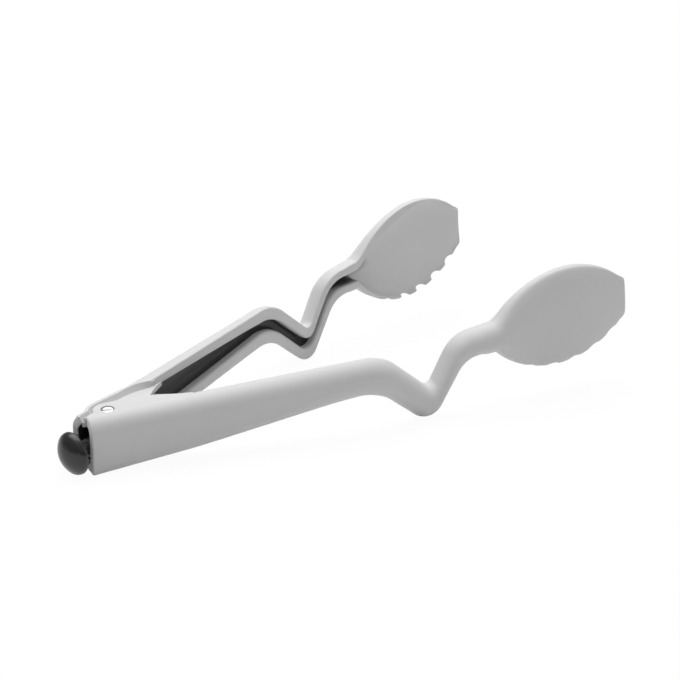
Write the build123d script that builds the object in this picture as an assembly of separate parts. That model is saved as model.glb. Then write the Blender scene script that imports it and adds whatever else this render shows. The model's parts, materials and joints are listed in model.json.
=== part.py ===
"""Sprung kitchen tongs, about 12 inches long, open and standing on a bench.

Two mirrored arms turn on one riveted pin. Each arm is a nylon channel with a silicone skin moulded over it:
a straight handle, a bend down to a knee that stands on the bench, a bend up to the neck, and a dished,
scalloped head. A click button slides in a housing on the pin, between the arms.

All shapes are drawn in the hinge frame first: X runs forward to the heads, Z is the pin's axis, and the
origin lies on the axis at mid height of the handles. An arm is drawn with its channel open towards -Y and its
rim in the plane y = 0. At the end the whole part is tipped to stand on the bench.
"""
from build123d import *
from math import acos, cos, degrees, hypot, pi, radians, sin, sqrt, tan
import os

# Half angle between the arms, in degrees, as they stand open and when their heads meet
open_angle = 17.2
closed_angle = 4.6

# Handle: side outline from the tail to the first bend
tail_x = -13.8
tail_half_height = 13.9
handle_end_x = 112.0
handle_end_half_height = 10.1
arm_depth = 12.4
top_round = 6.7
bottom_round = 3.0

# Bends of the arm: where the straight runs would cross, and the radii there
first_top_x = 140.0
first_bottom_x = 135.0
first_top_radius = 18.0
first_bottom_radius = 27.0
valley_x = 164.5
valley_z = -15.1
valley_radius = 3.6
knee_x = 162.4
knee_z = -33.7
knee_radius = 7.6
third_top_x = 179.9
third_bottom_x = 183.5
third_top_radius = 18.0
third_bottom_radius = 14.0
neck_x = 194.6
neck_top_z = 8.7
neck_bottom_z = -5.1
neck_top_blend = 3.0
neck_bottom_blend = 6.0
inward_bend_x = 138.0
inward_bend_angle = 8.5

# Head: an ellipse in the rim plane, cut off straight at the tip
head_x = 243.0
head_z = 0.6
head_half_length = 40.3
head_half_width = 25.7
tip_x = 281.6
tip_drop = 1.6
neck_depth = 12.0
head_section_share = (-1.11, -1.02, -0.96, -0.90, -0.82, -0.72, -0.60, -0.46, -0.30, -0.12,
                      0.08, 0.28, 0.46, 0.60, 0.72, 0.81, 0.88, 0.93)

# How the head's section changes along it: place, then sizes as shares of the neck's depth or of the width
law_place_share = (-1.2, -1.0, -0.92, -0.81, -0.67, -0.47, -0.22, 0.07, 0.35, 0.57, 0.74, 0.87, 0.96)
depth_share = (1.03, 1.0, 0.95, 0.90, 0.85, 0.79, 0.745, 0.71, 0.63, 0.52, 0.42, 0.335, 0.265)
edge_share = (0.46, 0.44, 0.42, 0.40, 0.38, 0.38, 0.40, 0.42, 0.45, 0.50, 0.60, 0.70, 0.78)
low_edge_share = (0.76, 0.70, 0.62, 0.52, 0.45, 0.42, 0.41, 0.42, 0.45, 0.50, 0.60, 0.70, 0.78)
round_share = (0.45, 0.45, 0.45, 0.46, 0.46, 0.46, 0.46, 0.46, 0.46, 0.46, 0.46, 0.46, 0.46)
low_round_share = (0.22, 0.26, 0.30, 0.36, 0.42, 0.45, 0.46, 0.46, 0.46, 0.46, 0.46, 0.46, 0.46)
rim_share = (1.10, 1.10, 1.05, 0.90, 1.05, 1.25, 1.15, 0.55, 0.28, 0.24, 0.24, 0.24, 0.24)
low_rim_share = (1.10, 1.00, 0.85, 0.70, 0.55, 0.42, 0.28, 0.24, 0.24, 0.24, 0.24, 0.24, 0.24)

# Scallops along the head's lower edge
scallop_radius = 6.0
scallop_cut = 3.0
scallop_place_share = (-0.499, -0.169, 0.144, 0.447, 0.715)

# Walls: silicone over nylon, and the channel between them
skin = 1.2
channel_wall = 3.2
lining_depth = 6.0
handle_rim = 4.2
slot_height = 5.4
slot_run_in_share = (1.55, 1.25, 1.12, 1.06, 1.03)
head_wall = 2.6
head_lining = 0.6
lined_share = -0.92
core_edge = 2.0
core_end_share = 0.60

# Hinge ears: the right arm's lie outside, the left arm's inside them
ear_radius = 7.2
ear_flank_x = 16.0
ear_waist_x = 25.5
ear_waist_reach = 5.4
ear_root_x = 43.0
ear_overlap = 5.0
outer_ear = 2.6
inner_ear = 2.4
inner_ear_skin = 0.8
ear_gap = 0.3
recess_gap = 0.4
recess_side = 5.6
recess_shoulder_x = 6.0
recess_shoulder_side = 7.0
recess_ridge_x = 21.0
recess_ridge_side = 5.0
recess_root_x = 35.0
tail_gap = 0.35

# Pin and what sits on it
pin_radius = 2.0
pin_head_radius = 3.1
pin_head_height = 0.8
pin_head_lift = 0.13
running_fit = 0.05
bush_radius = 3.0
washer_radius = 4.6
washer_gap = 0.2

# Latch housing on the pin
housing_rear_x = -6.0
housing_front_x = 34.0
housing_half_height = 6.8
housing_half_width = 8.4
housing_rear_half_width = 6.6
housing_shoulder_x = 3.0
housing_round = 1.6
slide_gap = 0.15
screw_radius = 1.1
screw_head_radius = 1.9
screw_head_height = 1.2
screw_cross_length = 2.4
screw_cross_width = 0.4
screw_inset = 2.5
screw_rear_x = 12.0
screw_front_inset = 3.0
screw_grip = 5.0

# Button: cap, stem and collar, on an axis below the handles' middle
button_z = -2.4
button_stroke = 2.5
cap_radius = 10.7
cap_rim_x = -21.2
cap_dome = 6.8
cap_back = 1.5
cap_back_radius = 7.6
cap_wall = 1.6
cap_lip = 0.8
cap_edge_round = 4.0
disc_flat_radius = 4.5
disc_shoulder = 1.2
stem_radius = 3.2
stem_grip = 3.6
fork_half_width = 4.9
fork_half_height = 3.2
fork_front_x = 7.4
stem_neck_radius = 2.5
stem_nose_radius = 1.3
stem_nose_x = 28.0
collar_radius = 4.6
collar_length = 3.6
collar_rear_x = -14.2
collar_chamfer = 0.5
cross_pin_radius = 0.75

# Click cam and return spring in the housing's front bore
bore_radius = 3.6
sleeve_bore_radius = 2.95
sleeve_rear_x = 10.4
sleeve_length = 9.0
sleeve_teeth = 8
sleeve_tooth = 1.2
rotor_rear_x = 13.0
rotor_radius = 2.3
rotor_lug = 0.4
rotor_length = 4.0
rotor_lugs = 4
plug_length = 2.4
return_wire_radius = 0.3
return_coil_radius = 1.95
return_turns = 5

# Both springs' wire is drawn with this many sides
wire_sides = 8

# Torsion spring round the bush, with a leg along each arm's side wall
torsion_wire_radius = 0.5
torsion_coil_radius = 4.0
torsion_turns = 2
torsion_pitch = 1.5
torsion_low_z = 2.7
torsion_room = 0.3
torsion_leg_out = 8.2
torsion_leg_bend = 2.5
torsion_leg_along = 5.0
leg_slot_x = 8.0

# Cutting allowance past a face, and the flat ground on each knee
overrun = 2.0
far_side = 40.0
knee_flat = 0.2


def handle_half_height(x):
    """Half height of the handle's channel, which tapers evenly from the tail."""
    slope = (tail_half_height - handle_end_half_height) / (handle_end_x - tail_x)
    return tail_half_height - slope * (x - tail_x)


def law(values, share):
    """Value at a place along the head, read off a table between its two nearest entries."""
    for i in range(1, len(law_place_share)):
        before, after = law_place_share[i - 1], law_place_share[i]
        if share <= after or i == len(law_place_share) - 1:
            part_way = (share - before) / (after - before)
            return values[i - 1] + part_way * (values[i] - values[i - 1])


def rounded_rail(corners, radii, counts):
    """Points along straight runs with rounded corners: ends, middles of the inner runs, and the arcs."""
    points = [corners[0]]
    last_end = corners[0]
    for i, (radius, count) in enumerate(zip(radii, counts), start=1):
        corner = corners[i]
        back = (corners[i - 1] - corner).normalized()
        ahead = (corners[i + 1] - corner).normalized()
        half = acos(back.dot(ahead)) / 2
        start = corner + back * (radius / tan(half))
        end = corner + ahead * (radius / tan(half))
        centre = corner + (back + ahead).normalized() * (radius / sin(half))
        turn = pi - 2 * half
        points.append((last_end + start) * 0.5)
        for k in range(count):
            share = k / (count - 1)
            spoke = (start - centre) * sin((1 - share) * turn) + (end - centre) * sin(share * turn)
            points.append(centre + spoke * (1 / sin(turn)))
        last_end = end
    points.append(corners[-1])
    return points


def bend_rails():
    """Top and bottom rim points through the three bends, one pair for each section."""
    end_height = handle_half_height(handle_end_x)
    top_height = handle_half_height(first_top_x)
    bottom_height = handle_half_height(first_bottom_x)
    top = [Vector(handle_end_x, 0, end_height), Vector(first_top_x, 0, top_height),
           Vector(valley_x, 0, valley_z), Vector(third_top_x, 0, neck_top_z), Vector(neck_x, 0, neck_top_z)]
    bottom = [Vector(handle_end_x, 0, -end_height), Vector(first_bottom_x, 0, -bottom_height),
              Vector(knee_x, 0, knee_z), Vector(third_bottom_x, 0, neck_bottom_z), Vector(neck_x, 0, neck_bottom_z)]
    counts = (5, 9, 6)
    top_points = rounded_rail(top, (first_top_radius, valley_radius, third_top_radius), counts)
    bottom_points = rounded_rail(bottom, (first_bottom_radius, knee_radius, third_bottom_radius), counts)
    return list(zip(top_points, bottom_points))


def head_ends(share):
    """Top and bottom rim points at a place along the head, blended into the neck."""
    x = head_x + share * head_half_length
    reach = head_half_width * sqrt(abs(1 - share * share))
    half_width = reach if abs(share) < 1 else -reach
    middle = head_z - tip_drop * max(0.0, share)
    top_gap = middle + half_width - neck_top_z
    low_gap = neck_bottom_z - middle + half_width
    top = neck_top_z + (top_gap + hypot(top_gap, neck_top_blend)) / 2
    low = neck_bottom_z - (low_gap + hypot(low_gap, neck_bottom_blend)) / 2
    return Vector(x, 0, top), Vector(x, 0, low)


def tip_share():
    return (tip_x - head_x) / head_half_length


def arm_stations():
    """All sections of an arm: the rim points, the turn in plan, and the place in the handle, bend or head."""
    stations = []
    for x in (tail_x, tail_x / 2 + handle_end_x / 2):
        height = handle_half_height(x)
        stations.append((Vector(x, 0, height), Vector(x, 0, -height), 0.0, "handle", 0))
    rails = bend_rails()
    for i, (top, low) in enumerate(rails):
        past = ((top.X + low.X) / 2 - inward_bend_x) / (first_top_radius * sin(radians(inward_bend_angle)))
        turn = inward_bend_angle * min(1.0, max(0.0, past / 2 + 0.5))
        stations.append((top, low, turn, "bend", i))
    for share in (*head_section_share, tip_share()):
        top, low = head_ends(share)
        stations.append((top, low, inward_bend_angle, "head", share))
    return stations


def on_rim(point):
    """A rim point moved inward by the arm's bend in plan."""
    inward = max(0.0, point.X - inward_bend_x) * tan(radians(inward_bend_angle))
    return Vector(point.X, -inward, point.Z)


def section_plane(station):
    """Plane of a section, with x outward and y up the rim, and the section's height."""
    top, low, turn = station[0], station[1], station[2]
    outward = Vector(sin(radians(turn)), cos(radians(turn)), 0)
    origin = on_rim(low)
    up = on_rim(top) - origin
    return Plane(origin=origin, x_dir=outward, z_dir=outward.cross(up)), up.length


def channel_outline(near, far, low, high, top_reach, top_drop, low_reach, low_rise):
    """Closed outline in a section plane: a straight rim, and two rounded outer corners."""
    top_centre = (far - top_reach, high - top_drop)
    low_centre = (far - low_reach, low + low_rise)
    rim = Line((near, low), (near, high))
    top = Line((near, high), (far - top_reach, high))
    shoulder = EllipticalCenterArc(top_centre, top_reach, top_drop, start_angle=0, arc_size=90)
    side = Line((far, high - top_drop), (far, low + low_rise))
    foot = EllipticalCenterArc(low_centre, low_reach, low_rise, start_angle=270, arc_size=90)
    bottom = Line((far - low_reach, low), (near, low))
    lines = (rim, top, shoulder, side, foot, bottom)
    return Wire([edge for line in lines for edge in line.edges()])


def body_wire(station, inset, edge_inset):
    """Outer outline of the arm at a station, set in by one amount all round and another at the head's edge."""
    plane, height = section_plane(station)
    if station[3] == "head":
        share = station[4]
        depth = neck_depth * law(depth_share, share)
        top_reach = depth * (1 - law(edge_share, share))
        low_reach = depth * (1 - law(low_edge_share, share))
        top_drop = height * law(round_share, share)
        low_rise = height * law(low_round_share, share)
        margin = edge_inset
    else:
        depth = arm_depth
        top_reach = top_round
        low_reach = bottom_round
        top_drop = min(top_round, height * round_share[0])
        low_rise = min(bottom_round, height * low_round_share[0])
        margin = inset
    shrink = 1 - 2 * margin / height
    side_shrink = (depth - 2 * inset) / depth
    outline = channel_outline(inset, depth - inset, margin, height - margin, top_reach * side_shrink,
                              top_drop * shrink, low_reach * side_shrink, low_rise * shrink)
    return plane * outline


def hollow_wire(station, lined):
    """Outline of the channel or dish at a station, or of the back of its silicone lining.

    In the handle the lining reaches only part of the way down the channel's sides. In the head it covers all.
    """
    plane, height = section_plane(station)
    outset, deepest = (skin, lining_depth) if lined else (0.0, arm_depth)
    low = handle_rim
    high = height - handle_rim
    depth = arm_depth - channel_wall
    reach_share, drop_share = 0.4, 0.25
    if station[3] == "bend":
        slot = slot_height
        if station[4] < len(slot_run_in_share):
            slot = slot_height * slot_run_in_share[station[4]]
        low = (height - slot) / 2
        high = (height + slot) / 2
    if station[3] == "head":
        share = station[4]
        low = handle_rim * law(low_rim_share, share)
        high = height - handle_rim * law(rim_share, share)
        depth = neck_depth * law(depth_share, share) - head_wall
        reach_share, drop_share = 0.85, 0.42
        if lined and share >= lined_share:
            outset, deepest = head_lining, arm_depth
    low = low - outset
    high = high + outset
    far = min(depth + outset, deepest)
    reach = far * reach_share
    drop = (high - low) * drop_share
    return plane * channel_outline(-overrun, far, low, high, reach, drop, reach, drop)


def arm_body(inset=0.0, edge_inset=0.0, end_share=None):
    """Solid arm, with its channel and dish still filled."""
    stations = arm_stations()
    if end_share is not None:
        stations = [s for s in stations if s[3] != "head" or s[4] <= end_share]
    wires = [body_wire(s, inset, edge_inset) for s in stations]
    return Solid.make_loft(wires, ruled=True)


def arm_hollow(lined):
    """The channel and dish as one solid, run out past the tail and the tip."""
    wires = [hollow_wire(s, lined) for s in arm_stations()]
    first = Pos(-overrun, 0, 0) * wires[0]
    last = Pos(overrun, 0, 0) * wires[-1]
    return Solid.make_loft([first, *wires, last], ruled=True)


def scallops():
    """Cutters for the notches along the head's lower edge."""
    outward = Vector(sin(radians(inward_bend_angle)), cos(radians(inward_bend_angle)), 0)
    cutters = []
    for share in scallop_place_share:
        low = head_ends(share)[1]
        ahead = head_ends(share + 0.01)[1]
        along = (ahead - low).normalized()
        away = Vector(along.Z, 0, -along.X)
        centre = on_rim(low + away * (scallop_radius - scallop_cut))
        plane = Plane(origin=centre - outward * far_side, z_dir=outward)
        cutters.append(plane * extrude(Circle(scallop_radius), 2 * far_side))
    return Compound(children=cutters)


def ear_plane(drop):
    """Plane level with the handle's sloping top, a given depth below it."""
    slope = (tail_half_height - handle_end_half_height) / (handle_end_x - tail_x)
    origin = Vector(0, 0, handle_half_height(0) - drop)
    return Plane(origin=origin, x_dir=Vector(1, 0, -slope), z_dir=Vector(slope, 0, 1))


def ear_plate(drop, thickness, grow=0.0):
    """One hinge ear: round the pin, swept forward into the arm's rim, and back to its tail."""
    radius = ear_radius + grow
    waist = (ear_waist_x, -ear_waist_reach - grow)
    front = Spline((ear_root_x, 0), waist, (ear_flank_x, -radius), tangents=((-1, -0.15), (-1, 0)))
    flank = Line((ear_flank_x, -radius), (0, -radius))
    round_pin = ThreePointArc((0, -radius), (-radius * sin(pi / 4), -radius * cos(pi / 4)), (-radius, 0))
    back = Polyline((-radius, 0), (tail_x - grow, ear_overlap), (ear_root_x, ear_overlap), (ear_root_x, 0))
    outline = make_face([*front.edges(), *flank.edges(), *round_pin.edges(), *back.edges()])
    return extrude(ear_plane(drop) * outline, -thickness)


def recess_plan(grow=0.0):
    """Plan of the pocket in which the other arm's ear swings."""
    shape = make_face(Polyline(
        (tail_x - overrun - far_side, -far_side), (tail_x - overrun - far_side, recess_side + grow),
        (-recess_shoulder_x, recess_side + grow), (0, ear_radius + recess_gap + grow),
        (recess_shoulder_x, recess_shoulder_side + grow), (recess_ridge_x, recess_ridge_side + grow),
        (recess_root_x + grow, 0), (recess_root_x + grow, -far_side), close=True).edges())
    return shape + Circle(ear_radius + recess_gap + grow)


def recess(top_drop, low_drop, grow=0.0):
    """The pocket between two levels below the handle's top."""
    return extrude(ear_plane(low_drop) * recess_plan(grow), low_drop - top_drop)


def tail_wedge(gap):
    """What is cut off behind the pin, so that the tails clear each other when the arms are open."""
    end = tail_x - far_side
    side = -end * tan(radians(open_angle)) + gap
    plan = make_face(Polyline((0, -far_side), (0, gap), (end, side), (end, -far_side), close=True).edges())
    return extrude(plan, far_side, both=True)


def top_and_bottom(shape):
    """A shape and its mirror image below the handle's middle plane."""
    return [shape, mirror(shape, about=Plane.XY)]


def pin_hole(radius):
    return Cylinder(radius, 2 * far_side)


def cut_all(shape, tools):
    for tool in tools:
        shape = shape - tool
    return shape


def join_all(shape, pieces):
    for piece in pieces:
        shape = shape + piece
    return shape


def arm_blanks():
    """The whole arm and its nylon core before the hinge is shaped."""
    hollow = arm_hollow(False)
    notches = scallops().children
    whole = cut_all(arm_body() - hollow, notches)
    core = arm_body(skin, core_edge, core_end_share) - hollow - arm_hollow(True)
    for cutter in notches:
        core = core - cutter
    return whole, core


def right_arm(whole, core):
    """Arm with the outer ears, drawn as a left one: core and skin."""
    ear_top = outer_ear + ear_gap
    relief = recess(outer_ear, ear_top + inner_ear + ear_gap)
    whole = whole - tail_wedge(tail_gap)
    whole = cut_all(whole, top_and_bottom(relief))
    whole = join_all(whole, top_and_bottom(ear_plate(0, outer_ear)))
    core = core - tail_wedge(tail_gap + skin)
    core = cut_all(core, top_and_bottom(recess(outer_ear, ear_top + inner_ear + ear_gap, skin / 2)))
    core = join_all(core, top_and_bottom(ear_plate(skin, outer_ear - skin, -skin)))
    skin_piece = whole - core - pin_hole(pin_head_radius + ear_gap)
    return core - pin_hole(pin_radius + running_fit), skin_piece


def left_arm(whole, core):
    """Arm with the inner ears, which swing in a pocket under the outer ones: core and skin."""
    ear_top = outer_ear + ear_gap
    plate_plan = recess_plan(skin) & Pos(recess_root_x / 2 + tail_x / 2, far_side / 2) * Rectangle(
        recess_root_x - tail_x, far_side)
    floor = extrude(ear_plane(ear_top) * plate_plan, -inner_ear)
    floor_core = extrude(ear_plane(ear_top + inner_ear_skin) * plate_plan, inner_ear_skin - inner_ear)
    whole = whole - tail_wedge(tail_gap)
    whole = cut_all(whole, top_and_bottom(recess(-overrun, ear_top)))
    whole = join_all(whole, top_and_bottom(floor - tail_wedge(tail_gap)))
    whole = join_all(whole, top_and_bottom(ear_plate(ear_top, inner_ear)))
    core = core - tail_wedge(tail_gap + skin)
    core = cut_all(core, top_and_bottom(recess(-overrun, ear_top + inner_ear_skin, skin)))
    core = join_all(core, top_and_bottom(floor_core - tail_wedge(tail_gap + skin)))
    core = join_all(core, top_and_bottom(
        ear_plate(ear_top + inner_ear_skin, inner_ear - inner_ear_skin, -inner_ear_skin)))
    skin_piece = whole - core - pin_hole(pin_radius + ear_gap)
    return core - pin_hole(pin_radius + running_fit), skin_piece


def slab(x0, x1, y0, y1, z0, z1):
    """Box between two corners."""
    return Pos((x0 + x1) / 2, (y0 + y1) / 2, (z0 + z1) / 2) * Box(x1 - x0, y1 - y0, z1 - z0)


def rod(radius, x0, x1, y=0.0, z=0.0):
    """Cylinder along X between two places."""
    return Pos((x0 + x1) / 2, y, z) * Rot(0, 90, 0) * Cylinder(radius, x1 - x0)


def post(radius, z0, z1, x=0.0, y=0.0):
    """Cylinder along Z between two places."""
    return Pos(x, y, (z0 + z1) / 2) * Cylinder(radius, z1 - z0)


def inner_ear_level():
    """Height of the inner ears' hidden face above the handles' middle, at the pin."""
    return handle_half_height(0) - outer_ear - ear_gap - inner_ear


def hinge_pin():
    """Rivet through all four ears, with a flat head sunk in each outer ear."""
    seat = handle_half_height(0) - skin + pin_head_lift
    head = post(pin_head_radius, seat, seat + pin_head_height)
    head = chamfer(head.edges().sort_by(Axis.Z)[-1], pin_head_height / 2)
    return join_all(post(pin_radius, -seat, seat), top_and_bottom(head))


def pin_washers():
    """A washer above and below the housing."""
    top = inner_ear_level() - washer_gap
    washer = post(washer_radius, housing_half_height, top) - pin_hole(pin_radius + running_fit)
    return Compound(children=top_and_bottom(washer))


def hinge_bush():
    return post(bush_radius, -housing_half_height, housing_half_height) - pin_hole(pin_radius + running_fit)


def housing_block():
    """The housing before it is split: an outline with a narrow back, and all its cavities."""
    plan = Polyline((housing_rear_x, -housing_rear_half_width), (housing_shoulder_x, -housing_half_width),
                    (housing_front_x, -housing_half_width), (housing_front_x, housing_half_width),
                    (housing_shoulder_x, housing_half_width), (housing_rear_x, housing_rear_half_width), close=True)
    block = extrude(make_face(plan.edges()), housing_half_height, both=True)
    corners = block.edges().filter_by(Axis.Z).group_by(Axis.X)
    block = fillet([*corners[0], *corners[-1]], housing_round)
    slot_front = fork_front_x + button_stroke + slide_gap
    slot_side = fork_half_width + slide_gap
    slot_up = fork_half_height + slide_gap
    slot = slab(housing_rear_x - overrun, slot_front, -slot_side, slot_side, button_z - slot_up, button_z + slot_up)
    bore = rod(bore_radius, slot_front - overrun, housing_front_x + overrun, 0, button_z)
    pocket_low = torsion_low_z - torsion_wire_radius - torsion_room
    pocket_radius = torsion_coil_radius + torsion_wire_radius + torsion_room
    pocket = post(pocket_radius, pocket_low, housing_half_height + overrun)
    legs = slab(0, leg_slot_x, -far_side, far_side, pocket_low, housing_half_height + overrun)
    return cut_all(block, (slot, bore, pocket, legs, pin_hole(bush_radius + running_fit)))


def screw_places():
    side = housing_half_width - screw_inset
    return [(x, y) for x in (screw_rear_x, housing_front_x - screw_front_inset) for y in (-side, side)]


def housing_lower():
    """Lower half, with the screws' heads sunk in its underside."""
    half = housing_block() & slab(-far_side, far_side, -far_side, far_side, -far_side, button_z)
    for x, y in screw_places():
        half = half - post(screw_radius + running_fit, -far_side, far_side, x, y)
        half = half - post(screw_head_radius + running_fit, -far_side, screw_head_height - housing_half_height, x, y)
    return half


def housing_upper():
    """Upper half, with blind holes for the screws and an open pocket for the torsion spring."""
    half = housing_block() & slab(-far_side, far_side, -far_side, far_side, button_z, far_side)
    for x, y in screw_places():
        half = half - post(screw_radius + running_fit, button_z - overrun, button_z + screw_grip + slide_gap, x, y)
    return half


def housing_screws():
    """The housing's four screws, with a cross in each head."""
    screws = []
    for x, y in screw_places():
        seat = screw_head_height - housing_half_height
        screw = post(screw_head_radius, -housing_half_height, seat, x, y)
        screw = screw + post(screw_radius, seat, button_z + screw_grip, x, y)
        for turn in (0, 90):
            blade = Box(screw_cross_length, screw_cross_width, screw_cross_width)
            screw = screw - Pos(x, y, -housing_half_height) * Rot(0, 0, turn) * blade
        screws.append(screw)
    return Compound(children=screws)


def button_body():
    """Domed body of revolution about X, with a rolled edge at its back."""
    flat = cap_radius - cap_edge_round
    dome_radius = (cap_dome ** 2 + flat ** 2 - cap_edge_round ** 2) / (2 * (cap_dome - cap_edge_round))
    centre = Vector(cap_rim_x - cap_dome + dome_radius, 0)
    edge_centre = Vector(cap_rim_x, flat)
    way = (edge_centre - centre).normalized()
    axis_way, rim_way = Vector(-1, 0), Vector(0, 1)
    meet = centre + way * dome_radius
    rim = edge_centre + rim_way * cap_edge_round
    back_centre = rim - rim_way * cap_back
    back = back_centre - axis_way * cap_back
    lines = (
        ThreePointArc(centre + axis_way * dome_radius, centre + (axis_way + way).normalized() * dome_radius, meet),
        ThreePointArc(meet, edge_centre + (way + rim_way).normalized() * cap_edge_round, rim),
        ThreePointArc(rim, back_centre + (rim_way - axis_way).normalized() * cap_back, back),
        Line(back, (back.X, 0)),
        Line((back.X, 0), centre + axis_way * dome_radius),
    )
    return revolve(make_face([edge for line in lines for edge in line.edges()]), Axis.X)


def button_filling():
    """The stiff disc inside the cap: bevelled in front, with a boss that fills the cap's open back."""
    nose_x = cap_rim_x - cap_dome + cap_wall
    reach = cap_radius - cap_wall
    lip_x = cap_rim_x + cap_back - cap_lip
    profile = Polyline((nose_x, 0), (nose_x, disc_flat_radius), (cap_rim_x - disc_shoulder, reach), (lip_x, reach),
                       (lip_x, cap_back_radius), (cap_rim_x + cap_back, cap_back_radius),
                       (cap_rim_x + cap_back, 0), close=True)
    return revolve(make_face(profile.edges()), Axis.X)


def button_core():
    """The stiff disc with the stem's bore."""
    bore = rod(stem_radius + running_fit, stem_rear_x(), far_side)
    return Pos(0, 0, button_z) * (button_filling() - bore)


def button_cap():
    """Soft dome, rolled back round the core's edge."""
    return Pos(0, 0, button_z) * (button_body() - button_filling())


def stem_rear_x():
    return cap_rim_x + cap_back - stem_grip


def button_stem():
    """Plunger: a rod, a fork slotted round the bush, a neck and a thin nose."""
    collar_front = collar_rear_x + collar_length
    stem = rod(stem_radius, stem_rear_x(), collar_front)
    stem = stem + slab(collar_front, fork_front_x, -fork_half_width, fork_half_width,
                       -fork_half_height, fork_half_height)
    stem = stem + rod(stem_neck_radius, fork_front_x, rotor_rear_x)
    stem = stem + rod(stem_nose_radius, rotor_rear_x, stem_nose_x)
    slot_radius = bush_radius + slide_gap
    slot = pin_hole(slot_radius) + Pos(-button_stroke, 0, 0) * pin_hole(slot_radius)
    slot = slot + slab(-button_stroke, 0, -slot_radius, slot_radius, -far_side, far_side)
    pin_x = collar_rear_x + collar_length / 2
    return Pos(0, 0, button_z) * (stem - slot - post(cross_pin_radius, -far_side, far_side, pin_x))


def lock_collar():
    """Ring that the arms' tails close on, with chamfered edges."""
    collar = rod(collar_radius, collar_rear_x, collar_rear_x + collar_length)
    collar = chamfer(collar.edges(), collar_chamfer)
    pin_x = collar_rear_x + collar_length / 2
    collar = collar - rod(stem_radius, -far_side, far_side)
    return Pos(0, 0, button_z) * (collar - post(cross_pin_radius, -far_side, far_side, pin_x))


def stem_cross_pin():
    pin_x = collar_rear_x + collar_length / 2
    return Pos(0, 0, button_z) * post(cross_pin_radius, -collar_radius, collar_radius, pin_x)


def cam_sleeve():
    """Fixed sleeve with a crown of slanted teeth at its front end."""
    sleeve = rod(bore_radius, sleeve_rear_x, sleeve_rear_x + sleeve_length)
    front = sleeve_rear_x + sleeve_length
    step = 360 / sleeve_teeth
    half_base = bore_radius * tan(radians(step / 2))
    for i in range(sleeve_teeth):
        notch = make_face(Polyline((front, -half_base), (front + overrun, -half_base), (front + overrun, half_base),
                                   (front - sleeve_tooth, half_base), close=True).edges())
        cutter = Pos(0, 0, 0) * extrude(notch, bore_radius + overrun)
        sleeve = sleeve - Rot((i + 0.5) * step, 0, 0) * cutter
    return Pos(0, 0, button_z) * (sleeve - rod(sleeve_bore_radius, -far_side, far_side))


def cam_rotor():
    """Small cam on the stem's nose, with lugs cut aslant behind."""
    rotor = rod(rotor_radius, rotor_rear_x, rotor_rear_x + rotor_length)
    for i in range(rotor_lugs):
        lug = slab(rotor_rear_x, rotor_rear_x + rotor_length, -rotor_lug, rotor_lug,
                   rotor_radius - rotor_lug, rotor_radius + rotor_lug)
        ramp = make_face(Polyline((rotor_rear_x, -rotor_lug), (rotor_rear_x + 2 * rotor_lug, rotor_lug),
                                  (rotor_rear_x, rotor_lug), close=True).edges())
        lug = lug - extrude(ramp, bore_radius)
        rotor = rotor + Rot(i * 360 / rotor_lugs, 0, 0) * lug
    return Pos(0, 0, button_z) * (rotor - rod(stem_nose_radius + running_fit, -far_side, far_side))


def spring_plug():
    """Plug in the bore's mouth, with a cross slot to turn it by."""
    plug = rod(bore_radius, housing_front_x - plug_length, housing_front_x)
    blade = slab(housing_front_x - screw_cross_width, far_side, -bore_radius, bore_radius,
                 -screw_cross_width, screw_cross_width)
    return Pos(0, 0, button_z) * (plug - blade)


def coil_points(radius, pitch, turns, start_angle, steps_per_turn=4):
    """Points and directions along a helix about Z that climbs from the origin."""
    points, directions = [], []
    rise = pitch / (2 * pi)
    for i in range(int(round(turns * steps_per_turn)) + 1):
        angle = 2 * pi * i / steps_per_turn
        place = radians(start_angle) + angle
        points.append(Vector(radius * cos(place), radius * sin(place), rise * angle))
        directions.append(Vector(-radius * sin(place), radius * cos(place), rise).normalized())
    return points, directions


def biarc_path(points, directions):
    """Pairs of arcs that pass through the points in the given directions, as one list of edges."""
    edges = []
    for p, q, s, t in zip(points, points[1:], directions, directions[1:]):
        step = q - p
        both = s + t
        spread = 2 * (1 - s.dot(t))
        along = step.dot(both)
        reach = (sqrt(along * along + spread * step.dot(step)) - along) / spread
        joint = (p + q + (s - t) * reach) * 0.5
        first = Edge.make_tangent_arc(p, s, joint)
        edges.append(first)
        edges.append(Edge.make_tangent_arc(joint, first.tangent_at(1), q))
    return edges


def swept_wire(edges, radius):
    path = Wire(edges)
    section = Plane(origin=path.position_at(0), z_dir=path.tangent_at(0)) * RegularPolygon(radius, wire_sides)
    return sweep(section, path=path)


def coil_gap(points_at, turns, wire_radius):
    """Least space between neighbouring turns of a coil, measured on points along it."""
    count = 48
    samples = [points_at(i / (count * turns)) for i in range(int(count * turns) + 1)]
    least = min((a - b).length for i, a in enumerate(samples) for b in samples[i + count // 2:])
    return least - 2 * wire_radius


def torsion_leg(side):
    """Leg from the coil out to an arm's side wall, and forward along it, as edges from the coil outward."""
    lean = radians(open_angle)
    start = Vector(torsion_coil_radius, 0, 0)
    bend = Vector(torsion_coil_radius, side * torsion_leg_out, 0)
    centre = bend + Vector(torsion_leg_bend, 0, 0)
    ahead = Vector(cos(lean), side * sin(lean), 0)
    bend_end = centre + Vector(-sin(lean), side * cos(lean), 0) * torsion_leg_bend
    return [Edge.make_line(start, bend), Edge.make_tangent_arc(bend, Vector(0, side, 0), bend_end),
            Edge.make_line(bend_end, bend_end + ahead * torsion_leg_along)]


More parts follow.
